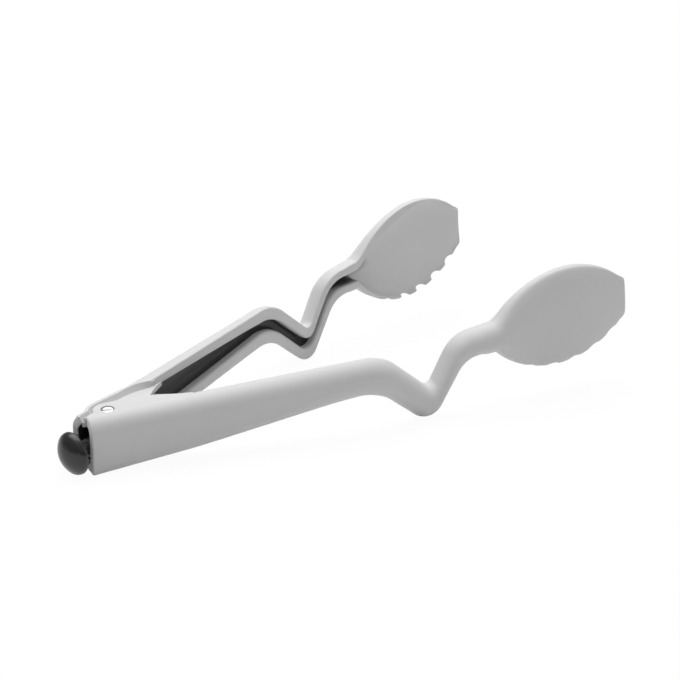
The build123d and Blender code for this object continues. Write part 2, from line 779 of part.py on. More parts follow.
def torsion_spring():
    """Torsion spring round the bush, with a leg to each arm's side wall."""
    points, directions = coil_points(torsion_coil_radius, torsion_pitch, torsion_turns, 0)
    coil = biarc_path(points, directions)
    path = Wire(coil)
    print("torsion spring: gap between turns", round(coil_gap(path.position_at, torsion_turns, torsion_wire_radius), 3))
    high = Pos(0, 0, torsion_turns * torsion_pitch)
    edges = [*torsion_leg(-1), *coil, *[high * edge for edge in torsion_leg(1)]]
    return Pos(0, 0, torsion_low_z) * swept_wire(edges, torsion_wire_radius)


def return_spring():
    """Compression spring between the rotor and the plug."""
    rear = rotor_rear_x + rotor_length + return_wire_radius + running_fit
    front = housing_front_x - plug_length - return_wire_radius - running_fit
    pitch = (front - rear) / return_turns
    points, directions = coil_points(return_coil_radius, pitch, return_turns, 0)
    coil = biarc_path(points, directions)
    path = Wire(coil)
    print("return spring: gap between turns", round(coil_gap(path.position_at, return_turns, return_wire_radius), 3))
    return Pos(rear, 0, button_z) * Rot(0, 90, 0) * swept_wire(coil, return_wire_radius)


def right_side(shape):
    """A left arm's piece turned into the right arm's, standing open."""
    return Rot(0, 0, -open_angle) * mirror(shape, about=Plane.XZ)


def left_side(shape):
    return Rot(0, 0, open_angle) * shape


def foot_points(kinds):
    """Lowest points (x, z) of the open arms' underside at sections of some kinds."""
    turn = radians(open_angle)
    points = []
    for station in arm_stations():
        if station[3] in kinds:
            plane, _ = section_plane(station)
            for depth in (0, arm_depth - bottom_round):
                point = plane.origin + plane.x_dir * depth
                points.append((point.X * cos(turn) - point.Y * sin(turn), point.Z))
    return points


def lowest(points, tilt):
    return min(z * cos(tilt) + x * sin(tilt) for x, z in points)


def bench_tilt():
    """Angle by which the heads rise when the tails and the ground knees stand on one plane."""
    tails, knees = foot_points(("handle",)), foot_points(("bend",))
    small, large = 0.0, radians(open_angle)
    while large - small > 0.5 ** far_side:
        tilt = (small + large) / 2
        if lowest(knees, tilt) + knee_flat < lowest(tails, tilt):
            small = tilt
        else:
            large = tilt
    return degrees(small)


def all_pieces():
    """Every piece by its node name, in the hinge frame."""
    whole, core = arm_blanks()
    left_core, left_skin = left_arm(whole, core)
    right_core, right_skin = right_arm(whole, core)
    return {
        "left_arm_core": left_side(left_core),
        "left_arm_skin": left_side(left_skin),
        "right_arm_core": right_side(right_core),
        "right_arm_skin": right_side(right_skin),
        "hinge_pin": hinge_pin(),
        "pin_washers": pin_washers(),
        "hinge_bush": hinge_bush(),
        "latch_housing_lower": housing_lower(),
        "latch_housing_upper": housing_upper(),
        "housing_screws": housing_screws(),
        "cam_sleeve": cam_sleeve(),
        "spring_plug": spring_plug(),
        "torsion_spring": torsion_spring(),
        "button_cap": button_cap(),
        "button_core": button_core(),
        "button_stem": button_stem(),
        "lock_collar": lock_collar(),
        "stem_cross_pin": stem_cross_pin(),
        "cam_rotor": cam_rotor(),
        "return_spring": return_spring(),
    }


def place_on_bench(pieces):
    """Tip the pieces on to their tails and knees, centre them, and grind the knees flat."""
    tilt = bench_tilt()
    tipped = {name: Rot(0, -tilt, 0) * shape for name, shape in pieces.items()}
    floor = lowest(foot_points(("handle",)), radians(tilt))
    boxes = [shape.bounding_box() for shape in tipped.values()]
    middle_x = (min(b.min.X for b in boxes) + max(b.max.X for b in boxes)) / 2
    middle_y = (min(b.min.Y for b in boxes) + max(b.max.Y for b in boxes)) / 2
    shift = Pos(-middle_x, -middle_y, -floor)
    placed = {name: shift * shape for name, shape in tipped.items()}
    reach = tip_x + far_side
    below = slab(0, reach, -reach, reach, -far_side, 0)
    for name in ("left_arm_skin", "right_arm_skin"):
        placed[name] = placed[name] - below
    return placed, shift * Rot(0, -tilt, 0)


pieces, placement = place_on_bench(all_pieces())
os.makedirs("parts", exist_ok=True)
for name, shape in pieces.items():
    box = shape.bounding_box()
    solids = shape.solids()
    print(name, len(solids), "solids", round(sum(s.volume for s in solids)), "mm3",
          "x %.1f %.1f y %.1f %.1f z %.1f %.1f" % (box.min.X, box.max.X, box.min.Y, box.max.Y, box.min.Z, box.max.Z))
    export_step(shape, "parts/" + name + ".step")

# Where the joints are: the hinge frame's origin and axes on the bench, and the button's axis
frame_plane = Plane(placement)
button_place = (placement * Pos(0, 0, button_z)).position
print("hinge origin", tuple(round(v, 4) for v in placement.position))
print("pin axis", tuple(round(v, 7) for v in frame_plane.z_dir))
print("button axis", tuple(round(v, 7) for v in frame_plane.x_dir), "through", tuple(round(v, 4) for v in button_place))
knee_face = pieces["left_arm_skin"].faces().filter_by(Axis.Z).sort_by(Axis.Z)[0]
print("knee flat", tuple(round(v, 3) for v in knee_face.center()), "area", round(knee_face.area, 2))
print("arm travel, degrees", round(open_angle - closed_angle, 3))
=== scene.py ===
# %% [markdown]
# Kitchen tongs, dressed for the camera.
#
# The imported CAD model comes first, as a fixed frame: it says where each piece sits and how it moves. This
# lesson then makes what the eye sees, piece by piece: two silicone-skinned arms, the rivet, the knob, the
# springs and screws, and the small plastics between them.

# %% The frame
import json
from itertools import groupby
import bmesh
import bpy
import numpy as np
from math import acos, atan2, cos, hypot, pi, radians, sin, sqrt, tan
from mathutils import Matrix, Vector


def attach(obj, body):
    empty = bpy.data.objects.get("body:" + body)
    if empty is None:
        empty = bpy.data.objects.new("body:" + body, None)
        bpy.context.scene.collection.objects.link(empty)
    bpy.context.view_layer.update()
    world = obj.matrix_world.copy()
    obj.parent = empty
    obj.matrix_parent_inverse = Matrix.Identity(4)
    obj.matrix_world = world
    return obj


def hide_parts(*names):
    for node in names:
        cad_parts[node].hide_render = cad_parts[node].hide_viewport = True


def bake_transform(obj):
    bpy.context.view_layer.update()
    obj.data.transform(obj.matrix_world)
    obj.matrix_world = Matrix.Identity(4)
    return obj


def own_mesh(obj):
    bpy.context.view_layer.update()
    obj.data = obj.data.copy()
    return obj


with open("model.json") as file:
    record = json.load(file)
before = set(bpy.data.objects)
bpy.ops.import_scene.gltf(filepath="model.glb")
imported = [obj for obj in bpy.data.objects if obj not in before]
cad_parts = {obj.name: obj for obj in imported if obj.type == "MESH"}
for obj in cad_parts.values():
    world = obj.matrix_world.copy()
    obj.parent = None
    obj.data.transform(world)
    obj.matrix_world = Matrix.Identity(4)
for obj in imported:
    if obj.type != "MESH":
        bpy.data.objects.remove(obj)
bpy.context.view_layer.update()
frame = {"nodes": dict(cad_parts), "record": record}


def new_object(name, data):
    made = bpy.data.objects.new(name, data)
    bpy.context.collection.objects.link(made)
    return made



# %% [markdown]
# Everything on the tongs is drawn round the hinge. In that frame X runs forward between the arms, Z is the
# rivet's axis, and lengths are in millimetres. One matrix carries a point from there on to the bench: it is
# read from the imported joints, so the pieces land exactly where the CAD model has them.

# %% From the hinge to the bench
MM = 0.001
joints = {joint["name"]: joint for joint in frame["record"]["behaviour"]["joints"]}
pivot = Vector(joints["right_arm_close"]["pos_m"])
pin_axis = Vector(joints["right_arm_close"]["axis"]).normalized()
forward = Vector((pin_axis.z, 0, -pin_axis.x))
to_bench = Matrix.Translation(pivot) @ Matrix((
    (forward.x * MM, 0, pin_axis.x * MM, 0),
    (0, MM, 0, 0),
    (forward.z * MM, 0, pin_axis.z * MM, 0),
    (0, 0, 0, 1)))
print("hinge at", tuple(round(v, 4) for v in pivot), "leaning", round(atan2(-pin_axis.x, pin_axis.z), 4))

# %% [markdown]
# The photograph was taken with a long lens from behind the hinge and above. The camera is placed by its
# angles round the hinge and its distance along the view, which keeps the perspective of the arms right.

# %% The camera
CAMERA_TURN = radians(-37.59)
CAMERA_RISE = radians(25.51)
CAMERA_ROLL = radians(-3.82)
CAMERA_PLACE = (110.38, 33.79, 1706.2)
CAMERA_TARGET_RISE = 12.26
LENS_MM = 190.07

back = Vector((sin(CAMERA_TURN) * cos(CAMERA_RISE), -cos(CAMERA_TURN) * cos(CAMERA_RISE), sin(CAMERA_RISE)))
level = Vector((cos(CAMERA_TURN), sin(CAMERA_TURN), 0))
upright = back.cross(level)
right = level * cos(CAMERA_ROLL) + upright * sin(CAMERA_ROLL)
up = upright * cos(CAMERA_ROLL) - level * sin(CAMERA_ROLL)
place = right * CAMERA_PLACE[0] + up * CAMERA_PLACE[1] + back * CAMERA_PLACE[2]
place.z += CAMERA_TARGET_RISE
turn = to_bench.to_3x3() @ Matrix((right, up, back)).transposed() * (1 / MM)
camera = new_object("camera", bpy.data.cameras.new("camera"))
camera.matrix_world = Matrix.Translation(to_bench @ place) @ turn.to_4x4()
camera.data.lens = LENS_MM
camera.data.clip_end = 20
bpy.context.scene.camera = camera
print("camera at", tuple(round(v, 3) for v in camera.matrix_world.translation))

# %% [markdown]
# Materials are small node trees. Writing shader maths by hand in nodes is slow to read, so one class wraps a
# socket and lets plain expressions such as noise * 0.1 + 0.4 add the Math nodes.


# %% A small language for shaders
class Socket:
    """A node's output, with arithmetic that adds Math nodes."""

    def __init__(self, tree, socket):
        self.tree, self.socket = tree, socket

    def node(self, kind, settings=None, **inputs):
        made = self.tree.nodes.new(kind)
        for name, value in (settings or {}).items():
            setattr(made, name, value)
        for name, value in inputs.items():
            key = int(name[1:]) if name[0] == "_" else name.replace("_", " ")
            if isinstance(value, Socket):
                self.tree.links.new(value.socket, made.inputs[key])
            else:
                made.inputs[key].default_value = value
        return made

    def out(self, kind, output, settings=None, **inputs):
        return Socket(self.tree, self.node(kind, settings, **inputs).outputs[output])

    def maths(self, operation, a, b):
        return self.out("ShaderNodeMath", 0, {"operation": operation}, _0=a, _1=b)

    def __add__(self, other):
        return self.maths("ADD", self, other)

    def __radd__(self, other):
        return self.maths("ADD", other, self)

    def __mul__(self, other):
        return self.maths("MULTIPLY", self, other)

    def __rmul__(self, other):
        return self.maths("MULTIPLY", other, self)

    def __sub__(self, other):
        return self.maths("SUBTRACT", self, other)

    def __rsub__(self, other):
        return self.maths("SUBTRACT", other, self)

    def stretch(self, low, high):
        """0 below low, 1 above high."""
        return self.out("ShaderNodeMapRange", "Result", Value=self, From_Min=low, From_Max=high)

    def between(self, first, second):
        """A colour that runs from the first to the second as this value runs from 0 to 1."""
        made = self.node("ShaderNodeMix", {"data_type": "RGBA"}, Factor=self)
        colours = [socket for socket in made.inputs if socket.type == "RGBA"]
        for socket, colour in zip(colours, (first, second)):
            if isinstance(colour, Socket):
                self.tree.links.new(colour.socket, socket)
            else:
                socket.default_value = (*colour, 1)
        return Socket(self.tree, [socket for socket in made.outputs if socket.type == "RGBA"][0])

    def vector(self, operation, other, output="Vector"):
        return self.out("ShaderNodeVectorMath", output, {"operation": operation}, _0=self, _1=other)

    def length(self):
        return self.out("ShaderNodeVectorMath", "Value", {"operation": "LENGTH"}, _0=self)


def new_material(name, **constants):
    """A material with one Principled shader, and the place on the object to read patterns from."""
    material = bpy.data.materials.new(name)
    material.use_nodes = True
    tree = material.node_tree
    shader = tree.nodes["Principled BSDF"]
    for key, value in constants.items():
        shader.inputs[key.replace("_", " ")].default_value = value
    place = Socket(tree, tree.nodes.new("ShaderNodeTexCoord").outputs["Object"])
    return material, shader, place


def noise(place, scale, detail=2.0, rough=0.5):
    return place.out("ShaderNodeTexNoise", 0, Vector=place, Scale=scale, Detail=detail,
                     Roughness=rough)


def feed(shader, name, value):
    value.tree.links.new(value.socket, shader.inputs[name])


def bump(shader, height, strength, distance):
    made = height.node("ShaderNodeBump", Height=height, Strength=strength, Distance=distance)
    height.tree.links.new(made.outputs["Normal"], shader.inputs["Normal"])


print("shader maths ready")

# %% [markdown]
# Silicone first, because it covers most of what is seen. It is pale grey right through, so wear doesn't
# change its colour. Under soft light it looks matt, with a broad sheen on the rounded edges. A very fine
# grain from the mould breaks the reflection, and dust and handling make faint lighter and darker clouds.

# %% Pale grey silicone
SILICONE = (0.600, 0.600, 0.603)
SILICONE_LIGHT = (0.640, 0.640, 0.642)
silicone, silicone_shader, silicone_at = new_material("silicone_grey", Specular_IOR_Level=0.42,
                                                      Sheen_Weight=0.06, Sheen_Roughness=0.4)
cloud = noise(silicone_at, 28, 4.0)
grain = noise(silicone_at, 2600, 3.0, 0.6)
speck = noise(silicone_at, 900, 1.0).stretch(0.74, 0.80)
pale = (cloud * 0.8 + grain * 0.2 + speck * 0.35).between(SILICONE, SILICONE_LIGHT)
feed(silicone_shader, "Base Color", pale)
feed(silicone_shader, "Roughness", 0.50 + cloud * 0.10 + grain * 0.06)
bump(silicone_shader, grain + noise(silicone_at, 700, 2.0) * 0.6, 0.16, 0.00006)
print("silicone made")

# %% [markdown]
# The core is black glass-filled nylon. It shows only inside the channels, where it is nearly lost in shadow.
# The mould leaves it with a slightly coarser grain than the silicone, and a drier, greyer look where it was
# rubbed.

# %% Black nylon
nylon, shader, at = new_material("nylon_black", Specular_IOR_Level=0.5)
grain = noise(at, 1500, 3.0, 0.6)
cloud = noise(at, 45, 3.0)
feed(shader, "Base Color", (cloud * 0.7 + grain * 0.3).between((0.048, 0.048, 0.050), (0.078, 0.078, 0.080)))
feed(shader, "Roughness", 0.42 + grain * 0.16)
bump(shader, grain, 0.25, 0.00008)
print("nylon made")

# %% [markdown]
# The knob is a softer, darker rubber. It is polished enough to mirror the lights as soft shapes, so its
# roughness is low, and finger marks show in it as patches that are a little duller.

# %% Black rubber for the knob
rubber, shader, at = new_material("rubber_black", Specular_IOR_Level=0.55)
marks = noise(at, 130, 4.0, 0.6)
grain = noise(at, 2200, 2.0)
feed(shader, "Base Color", marks.between((0.010, 0.010, 0.011), (0.022, 0.022, 0.023)))
feed(shader, "Roughness", 0.22 + marks.stretch(0.40, 0.70) * 0.16 + grain * 0.05)
bump(shader, grain, 0.12, 0.00004)
print("rubber made")

# %% [markdown]
# Steel parts are small, so one idea serves them all: bright metal, with a fine brushed grain. The rivet's
# head was spun, so its grain runs in rings. Drawn spring wire is darker and smoother.


# %% Steels
def steel(name, colour, rough, scale, centre=None):
    material, shader, at = new_material(name, Metallic=1.0)
    if centre is None:
        grain = noise(at, scale, 3.0)
    else:
        reach = at.vector("SUBTRACT", centre).length()
        rings = at.out("ShaderNodeCombineXYZ", 0, _0=reach * 9.0, _1=reach * 5.0, _2=0.0)
        grain = noise(rings, scale, 3.0)
    feed(shader, "Base Color", grain.between([c * 0.90 for c in colour], colour))
    feed(shader, "Roughness", rough + grain * 0.14)
    bump(shader, grain, 0.2, 0.00003)
    return material


rivet_steel = steel("rivet_steel", (0.86, 0.86, 0.85), 0.14, 900, tuple(pivot))
screw_steel = steel("screw_steel", (0.62, 0.62, 0.61), 0.30, 1800)
spring_wire = steel("spring_wire", (0.52, 0.52, 0.52), 0.26, 2600)
print("steels made")

# %% [markdown]
# The mechanism between the arms is injection-moulded. The housing and collar are black with a satin face, and
# the sliding pieces are natural acetal, which is milky and a little glossy.


# %% Moulded plastics
def moulded(name, dark, light, rough, grain_scale, level):
    material, shader, at = new_material(name, Specular_IOR_Level=level)
    grain = noise(at, grain_scale, 3.0, 0.6)
    flow = noise(at, 60, 3.0)
    feed(shader, "Base Color", (flow * 0.7 + grain * 0.3).between(dark, light))
    feed(shader, "Roughness", rough + grain * 0.14)
    bump(shader, grain, 0.18, 0.00006)
    return material


housing_black = moulded("housing_black", (0.045, 0.045, 0.047), (0.075, 0.075, 0.077), 0.34, 1400, 0.5)
acetal = moulded("acetal_natural", (0.66, 0.66, 0.63), (0.74, 0.74, 0.71), 0.24, 1800, 0.5)
washer_white = moulded("washer_white", (0.70, 0.70, 0.68), (0.78, 0.78, 0.76), 0.36, 1800, 0.45)
print("plastics made")


# %% [markdown]
# Two helpers turn lists of points into meshes. A loft joins rings of equal length, one after another, into a
# closed skin. Every piece is finished the same way: welded, its faces turned outwards, carried to the bench,
# and smoothed except along real edges.

# %% Helpers: rings to meshes
EDGE_ANGLE = radians(32)
RING_WELD, BENCH_WELD, WIRE_WELD = 0.001, 0.000005, 0.000004


def face_outwards(mesh):
    """Turn all faces of a closed bmesh outwards, told by the sign of its volume."""
    bmesh.ops.recalc_face_normals(mesh, faces=mesh.faces)
    if mesh.calc_volume(signed=True) < 0:
        bmesh.ops.reverse_faces(mesh, faces=mesh.faces)


def lofted(rings):
    """A closed bmesh through rings of points of equal length, with its first and last ring filled."""
    mesh = bmesh.new()
    rows = [[mesh.verts.new(point) for point in ring] for ring in rings]
    count = len(rings[0])
    for a, b in zip(rows, rows[1:]):
        for i in range(count):
            j = (i + 1) % count
            mesh.faces.new((a[i], a[j], b[j], b[i]))
    mesh.faces.new(rows[0][::-1])
    mesh.faces.new(rows[-1])
    bmesh.ops.remove_doubles(mesh, verts=mesh.verts, dist=RING_WELD)
    face_outwards(mesh)
    loose = sum(not edge.is_manifold for edge in mesh.edges)
    if loose:
        print("open or doubled edges:", loose)
    return mesh


def as_object(mesh, name):
    data = bpy.data.meshes.new(name)
    mesh.to_mesh(data)
    mesh.free()
    return new_object(name, data)


def finish_piece(piece, material, body, slot, *nodes, weld=BENCH_WELD, bend=None):
    """Weld, turn faces outwards, smooth, paint and mount a piece that stands on the bench already.

    A piece with a bend is baked where it stands instead of mounted; the second body and the points in the bend
    are not used.
    """
    mesh = bmesh.new()
    mesh.from_mesh(piece.data)
    bmesh.ops.remove_doubles(mesh, verts=mesh.verts, dist=weld)
    bmesh.ops.triangulate(mesh, faces=[face for face in mesh.faces if len(face.verts) > 4])
    bmesh.ops.recalc_face_normals(mesh, faces=mesh.faces)
    for vert in mesh.verts:
        vert.co.z = max(vert.co.z, 0.0)
    mesh.to_mesh(piece.data)
    mesh.free()
    piece.data.shade_smooth()
    piece.data.set_sharp_from_angle(angle=EDGE_ANGLE)
    piece.data.materials.clear()
    piece.data.materials.append(material)
    if bend:
        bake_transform(piece)
    else:
        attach(piece, body)
    if nodes:
        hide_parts(*nodes)
    print(piece.name, len(piece.data.polygons), "faces")
    return piece


def carve(piece, cutters, operation="DIFFERENCE"):
    """Apply Boolean modifiers to a piece and delete the cutters."""
    for cutter in cutters:
        modifier = piece.modifiers.new("cut", "BOOLEAN")
        modifier.operation = operation
        modifier.solver = "MANIFOLD"
        modifier.object = cutter
        graph = bpy.context.evaluated_depsgraph_get()
        data = bpy.data.meshes.new_from_object(piece.evaluated_get(graph))
        piece.modifiers.clear()
        old = piece.data
        print("  ", piece.name, operation.lower(), cutter.name, len(old.polygons), "->", len(data.polygons))
        piece.data = data
        bpy.data.meshes.remove(old)
        bpy.data.objects.remove(cutter)


print("helpers ready")

# %% [markdown]
# An arm is one long channel that changes section as it goes: a tall box at the tail, a slim bent neck, and a
# spoon. The real one is moulded, so every surface flows. It could be modelled by hand from a cube, but its
# shape follows a rule, and a rule is easier to keep in step with the CAD model. Two rails in the side view
# give the top and bottom of each section; tables give its depth, its rounding and its rim.

# %% The arm's sizes, in millimetres
OPEN_ANGLE = radians(17.2)
TAIL_X, TAIL_HALF = -13.8, 13.9
HANDLE_END_X, HANDLE_END_HALF = 112.0, 10.1
LOW_RISE, LOW_RISE_X = 1.3, (45.0, 130.0)
SECTION_X = (-13.8, 40.0, 112.0, 170.0, 205.0)
SIDE_DEPTH = (12.4, 12.1, 11.3, 11.3, 11.6)
TOP_ROUNDS = (7.4, 8.1, 8.5, 8.5, 7.0)
LOW_ROUNDS = (1.5, 3.0, 9.0, 10.0, 7.0)
BEND_TOP = ((140.0, 24.0), (164.5, 3.6), (179.9, 18.0))
BEND_LOW = ((135.0, 27.0), (162.4, 7.6), (183.5, 14.0))
VALLEY_Z, KNEE_Z = -15.1, -33.7
NECK_X, NECK_TOP, NECK_LOW = 194.6, 8.7, -5.1
NECK_TOP_BLEND, NECK_LOW_BLEND = 5.0, 7.0
INWARD_X, INWARD = 138.0, radians(8.5)
HEAD_X, HEAD_Z, HEAD_LONG, HEAD_WIDE = 243.0, 0.6, 40.3, 25.7
TIP_X, TIP_DROP, NECK_DEPTH = 281.6, 1.6, 12.0
HANDLE_RIM, SLOT, HEAD_WALL, CHANNEL_WALL = 4.2, 5.4, 2.6, 3.2
SKIN = 1.2

PLACE = (-1.2, -1.0, -0.92, -0.81, -0.67, -0.47, -0.22, 0.07, 0.35, 0.57, 0.74, 0.87, 0.96)
DEPTH = (0.97, 0.97, 0.94, 0.90, 0.85, 0.79, 0.745, 0.71, 0.63, 0.52, 0.42, 0.335, 0.265)
EDGE = (0.40, 0.40, 0.40, 0.39, 0.38, 0.38, 0.40, 0.42, 0.45, 0.50, 0.60, 0.70, 0.78)
LOW_EDGE = (0.40, 0.40, 0.40, 0.40, 0.40, 0.41, 0.41, 0.42, 0.45, 0.50, 0.60, 0.70, 0.78)
ROUND = (0.45, 0.45, 0.45, 0.46, 0.46, 0.46, 0.46, 0.46, 0.46, 0.46, 0.46, 0.46, 0.46)
LOW_ROUND = (0.45, 0.45, 0.45, 0.45, 0.46, 0.46, 0.46, 0.46, 0.46, 0.46, 0.46, 0.46, 0.46)
RIM = (1.10, 1.10, 1.05, 0.90, 1.05, 1.25, 1.15, 0.55, 0.28, 0.24, 0.24, 0.24, 0.24)
LOW_RIM = (1.10, 1.00, 0.85, 0.70, 0.55, 0.42, 0.28, 0.24, 0.24, 0.24, 0.24, 0.24, 0.24)


def law(table, share):
    """Smooth reading of a table along the head."""
    return float(smooth_tables[table][int(round((share - PLACE[0]) / LAW_STEP))])


LAW_STEP, LAW_REACH, LAW_BLUR = 0.002, 60, 22.0
law_shares = np.arange(PLACE[0], 1.0, LAW_STEP)
kernel = np.exp(-0.5 * (np.arange(-LAW_REACH, LAW_REACH + 1) / LAW_BLUR) ** 2)
smooth_tables = {}
for table in (DEPTH, EDGE, LOW_EDGE, ROUND, LOW_ROUND, RIM, LOW_RIM):
    row = np.interp(np.pad(law_shares, LAW_REACH, "edge"), PLACE, table)
    smooth_tables[table] = np.convolve(row, kernel / kernel.sum(), "valid")
print("tables", len(smooth_tables), "of", len(law_shares))


# %% [markdown]
# Straight runs joined by arcs make the rails through the three bends. Each rail gets the same number of
# points, so that the first point above pairs with the first below, and so on to the neck.

# %% The rails through the bends
def ramp(value, low, high):
    """0 up to low, 1 from high on."""
    return min(1.0, max(0.0, (value - low) / (high - low)))


def half_height(x):
    return TAIL_HALF - (TAIL_HALF - HANDLE_END_HALF) / (HANDLE_END_X - TAIL_X) * (x - TAIL_X)


def low_height(x):
    """The handle's bottom, which rises a little towards the bends."""
    return LOW_RISE * ramp(x, *LOW_RISE_X) - half_height(x)


def rounded_rail(corners, radii, arc_counts, run_counts):
    """Points along straight runs with arcs at the corners, in the (x, z) plane."""
    corners = [np.array(c, float) for c in corners]
    points, last = [], corners[0]
    for i, (radius, count) in enumerate(zip(radii, arc_counts), start=1):
        corner = corners[i]
        back = (corners[i - 1] - corner) / np.linalg.norm(corners[i - 1] - corner)
        ahead = (corners[i + 1] - corner) / np.linalg.norm(corners[i + 1] - corner)
        half = acos(back @ ahead) / 2
        start, end = corner + back * radius / tan(half), corner + ahead * radius / tan(half)
        middle = (back + ahead) / np.linalg.norm(back + ahead)
        centre = corner + middle * radius / sin(half)
        sweep = pi - 2 * half
        points += [last + (start - last) * k / run_counts[i - 1] for k in range(run_counts[i - 1])]
        for k in range(count):
            share = k / count
            spoke = (start - centre) * sin((1 - share) * sweep) + (end - centre) * sin(share * sweep)
            points.append(centre + spoke / sin(sweep))
        last = end
    run = run_counts[-1]
    return points + [last + (corners[-1] - last) * k / run for k in range(run)]


def bend_rails():
    top = [(HANDLE_END_X, half_height(HANDLE_END_X)), (BEND_TOP[0][0], half_height(BEND_TOP[0][0])),
           (BEND_TOP[1][0], VALLEY_Z), (BEND_TOP[2][0], NECK_TOP), (NECK_X, NECK_TOP)]
    low = [(HANDLE_END_X, low_height(HANDLE_END_X)), (BEND_LOW[0][0], low_height(BEND_LOW[0][0])),
           (BEND_LOW[1][0], KNEE_Z), (BEND_LOW[2][0], NECK_LOW), (NECK_X, NECK_LOW)]
    arcs, runs = (14, 24, 16), (6, 5, 5, 4)
    return list(zip(rounded_rail(top, [c[1] for c in BEND_TOP], arcs, runs),
                    rounded_rail(low, [c[1] for c in BEND_LOW], arcs, runs)))


HEAD_TRIM_AT = (-1.3, -0.9, -0.75, -0.45, -0.1, 0.2, 0.5, 0.7, 0.87, 0.957)
TOP_TRIM = (1.6, 1.9, 1.7, 0.9, 0.3, 0.1, 0.3, 0.6, 1.0, -0.6)
LOW_TRIM = (1.8, 2.4, 2.4, 1.7, 1.0, 1.4, 2.5, 3.2, 3.8, 1.2)
TIP_ROUND = 3.5


def head_ends(share):
    """Top and bottom of the head's outline, blended into the neck."""
    x = HEAD_X + share * HEAD_LONG
    reach = HEAD_WIDE * sqrt(abs(1 - share * share)) * (1 if abs(share) < 1 else -1)
    middle = HEAD_Z - TIP_DROP * max(0.0, share)
    near_tip = max(0.0, TIP_ROUND - (TIP_X - x))
    corner = TIP_ROUND - sqrt(max(0.0, TIP_ROUND ** 2 - near_tip ** 2))
    top_trim, low_trim = [float(np.interp(share, HEAD_TRIM_AT, row)) + corner for row in (TOP_TRIM, LOW_TRIM)]
    top_gap, low_gap = middle + reach - top_trim - NECK_TOP, NECK_LOW - middle + reach - low_trim
    return (np.array((x, NECK_TOP + (top_gap + hypot(top_gap, NECK_TOP_BLEND)) / 2)),
            np.array((x, NECK_LOW - (low_gap + hypot(low_gap, NECK_LOW_BLEND)) / 2)))


print("bend sections", len(bend_rails()))


# %% [markdown]
# Each station of the arm holds its two rail points, how far it has turned inwards, and how its channel looks
# there. The slot eases from the wide handle channel to the narrow one of the neck, and opens again into the
# dish. How much of the black core shows eases out along the neck, because the head is silicone all over.

# %% The arm's stations
SLOT_EASE = ((-14.0, 20.0), (20.0, 17.6), (64.0, 13.6), (90.0, 10.7), (112.0, 8.2), (128.0, 6.5), (140.0, 5.7),
             (150.0, SLOT), (190.0, SLOT))
CORE_FADE = (-1.15, -1.05)
CORNER_EASED = -0.80
HEAD_START = -1.16
TIP_EDGE = 1.1
TAIL_EDGE = 1.0
TAIL_SLANT, TAIL_SLANT_TO = 1.5, 12.0
HANDLE_STEPS = (SKIN, 3.0, 6.5, 11.0, 16.0, 22.0, 30.0, 40.0, 52.0, 66.0, 82.0, 98.0, 112.0)


def stations():
    found = []
    quarter_turn = np.linspace(0, pi / 2, 7)
    steps = [(TAIL_EDGE * (1 - cos(a)), TAIL_EDGE * (1 - sin(a)), True) for a in quarter_turn]
    steps += [(step, 0.0, False) for step in HANDLE_STEPS]
    for step, inset, plain in steps:
        x = TAIL_X + step
        slant = TAIL_SLANT * max(0.0, 1 - step / TAIL_SLANT_TO)
        found.append(dict(top=np.array((x + slant, half_height(x))), low=np.array((x, low_height(x))), turn=0.0,
                          share=None, kind="handle", inset=inset, plain=plain))
    for top, low in bend_rails():
        middle = (top[0] + low[0]) / 2
        past = (middle - INWARD_X) / (BEND_TOP[0][1] * sin(INWARD))
        found.append(dict(top=top, low=low, turn=INWARD * ramp(past, -1, 1), share=None, kind="bend"))
    tip = (TIP_X - HEAD_X) / HEAD_LONG
    start = tip - TIP_EDGE / HEAD_LONG
    shares = np.concatenate([np.linspace(HEAD_START, -0.6, 30), np.linspace(-0.58, 0.6, 46),
                             np.linspace(0.62, start - 0.006, 24)])
    ends = [(float(share), 0.0) for share in shares]
    ends += [(start + (tip - start) * sin(a), TIP_EDGE * (1 - cos(a))) for a in quarter_turn]
    for share, inset in ends:
        top, low = head_ends(share)
        found.append(dict(top=top, low=low, turn=INWARD, share=share, kind="head", inset=inset))
    return found


def on_rim(point):
    """A rail point in the arm's frame, with the bend in plan."""
    return np.array((point[0], -max(0.0, point[0] - INWARD_X) * tan(INWARD), point[1]))


print("stations", len(stations()))


# %% [markdown]
# Deep in the root of the dish the silicone lies in shade. The material gets a soft patch of painted shade there,
# measured along, up and across the arm. The plan is the same on both sides, so the patch reads the distance
# from the middle plane without its sign.


# %% Painted shade at the root of the dish
def arm_axis(along, outward, up):
    """A direction of the left arm's neck, on the bench."""
    neck = OPEN_ANGLE - INWARD
    plan = Vector((along * cos(neck) - outward * sin(neck), along * sin(neck) + outward * cos(neck), up))
    return to_bench.to_3x3() @ plan


# Place, size and colour of the painted shade deep in the root of the dish.
ROOT_X, ROOT_IN, ROOT_SIZE, ROOT_PAINTED_SHADE = 200.0, 5.0, (20.0, 5.6, 6.2), (0.05, 0.05, 0.052)
root = Vector((ROOT_X, -(ROOT_X - INWARD_X) * tan(INWARD), (NECK_TOP + NECK_LOW) / 2))
root_place = to_bench @ Matrix.Rotation(OPEN_ANGLE, 4, "Z") @ root + arm_axis(0, ROOT_IN, 0)
at = silicone_at
x, y, z = [Socket(at.tree, output) for output in at.node("ShaderNodeSeparateXYZ", None, _0=at).outputs]
one_side = at.out("ShaderNodeCombineXYZ", 0, _0=x, _1=y.maths("ABSOLUTE", y, 0.0), _2=z)
moved = one_side.vector("SUBTRACT", tuple(root_place))
directions = (arm_axis(1, 0, 0), arm_axis(0, 1, 0), arm_axis(0, 0, 1))
shares = [moved.vector("DOT_PRODUCT", tuple(direction / (size * MM ** 2)), "Value")
          for direction, size in zip(directions, ROOT_SIZE)]
away = at.out("ShaderNodeCombineXYZ", 0, _0=shares[0], _1=shares[1], _2=shares[2]).length()
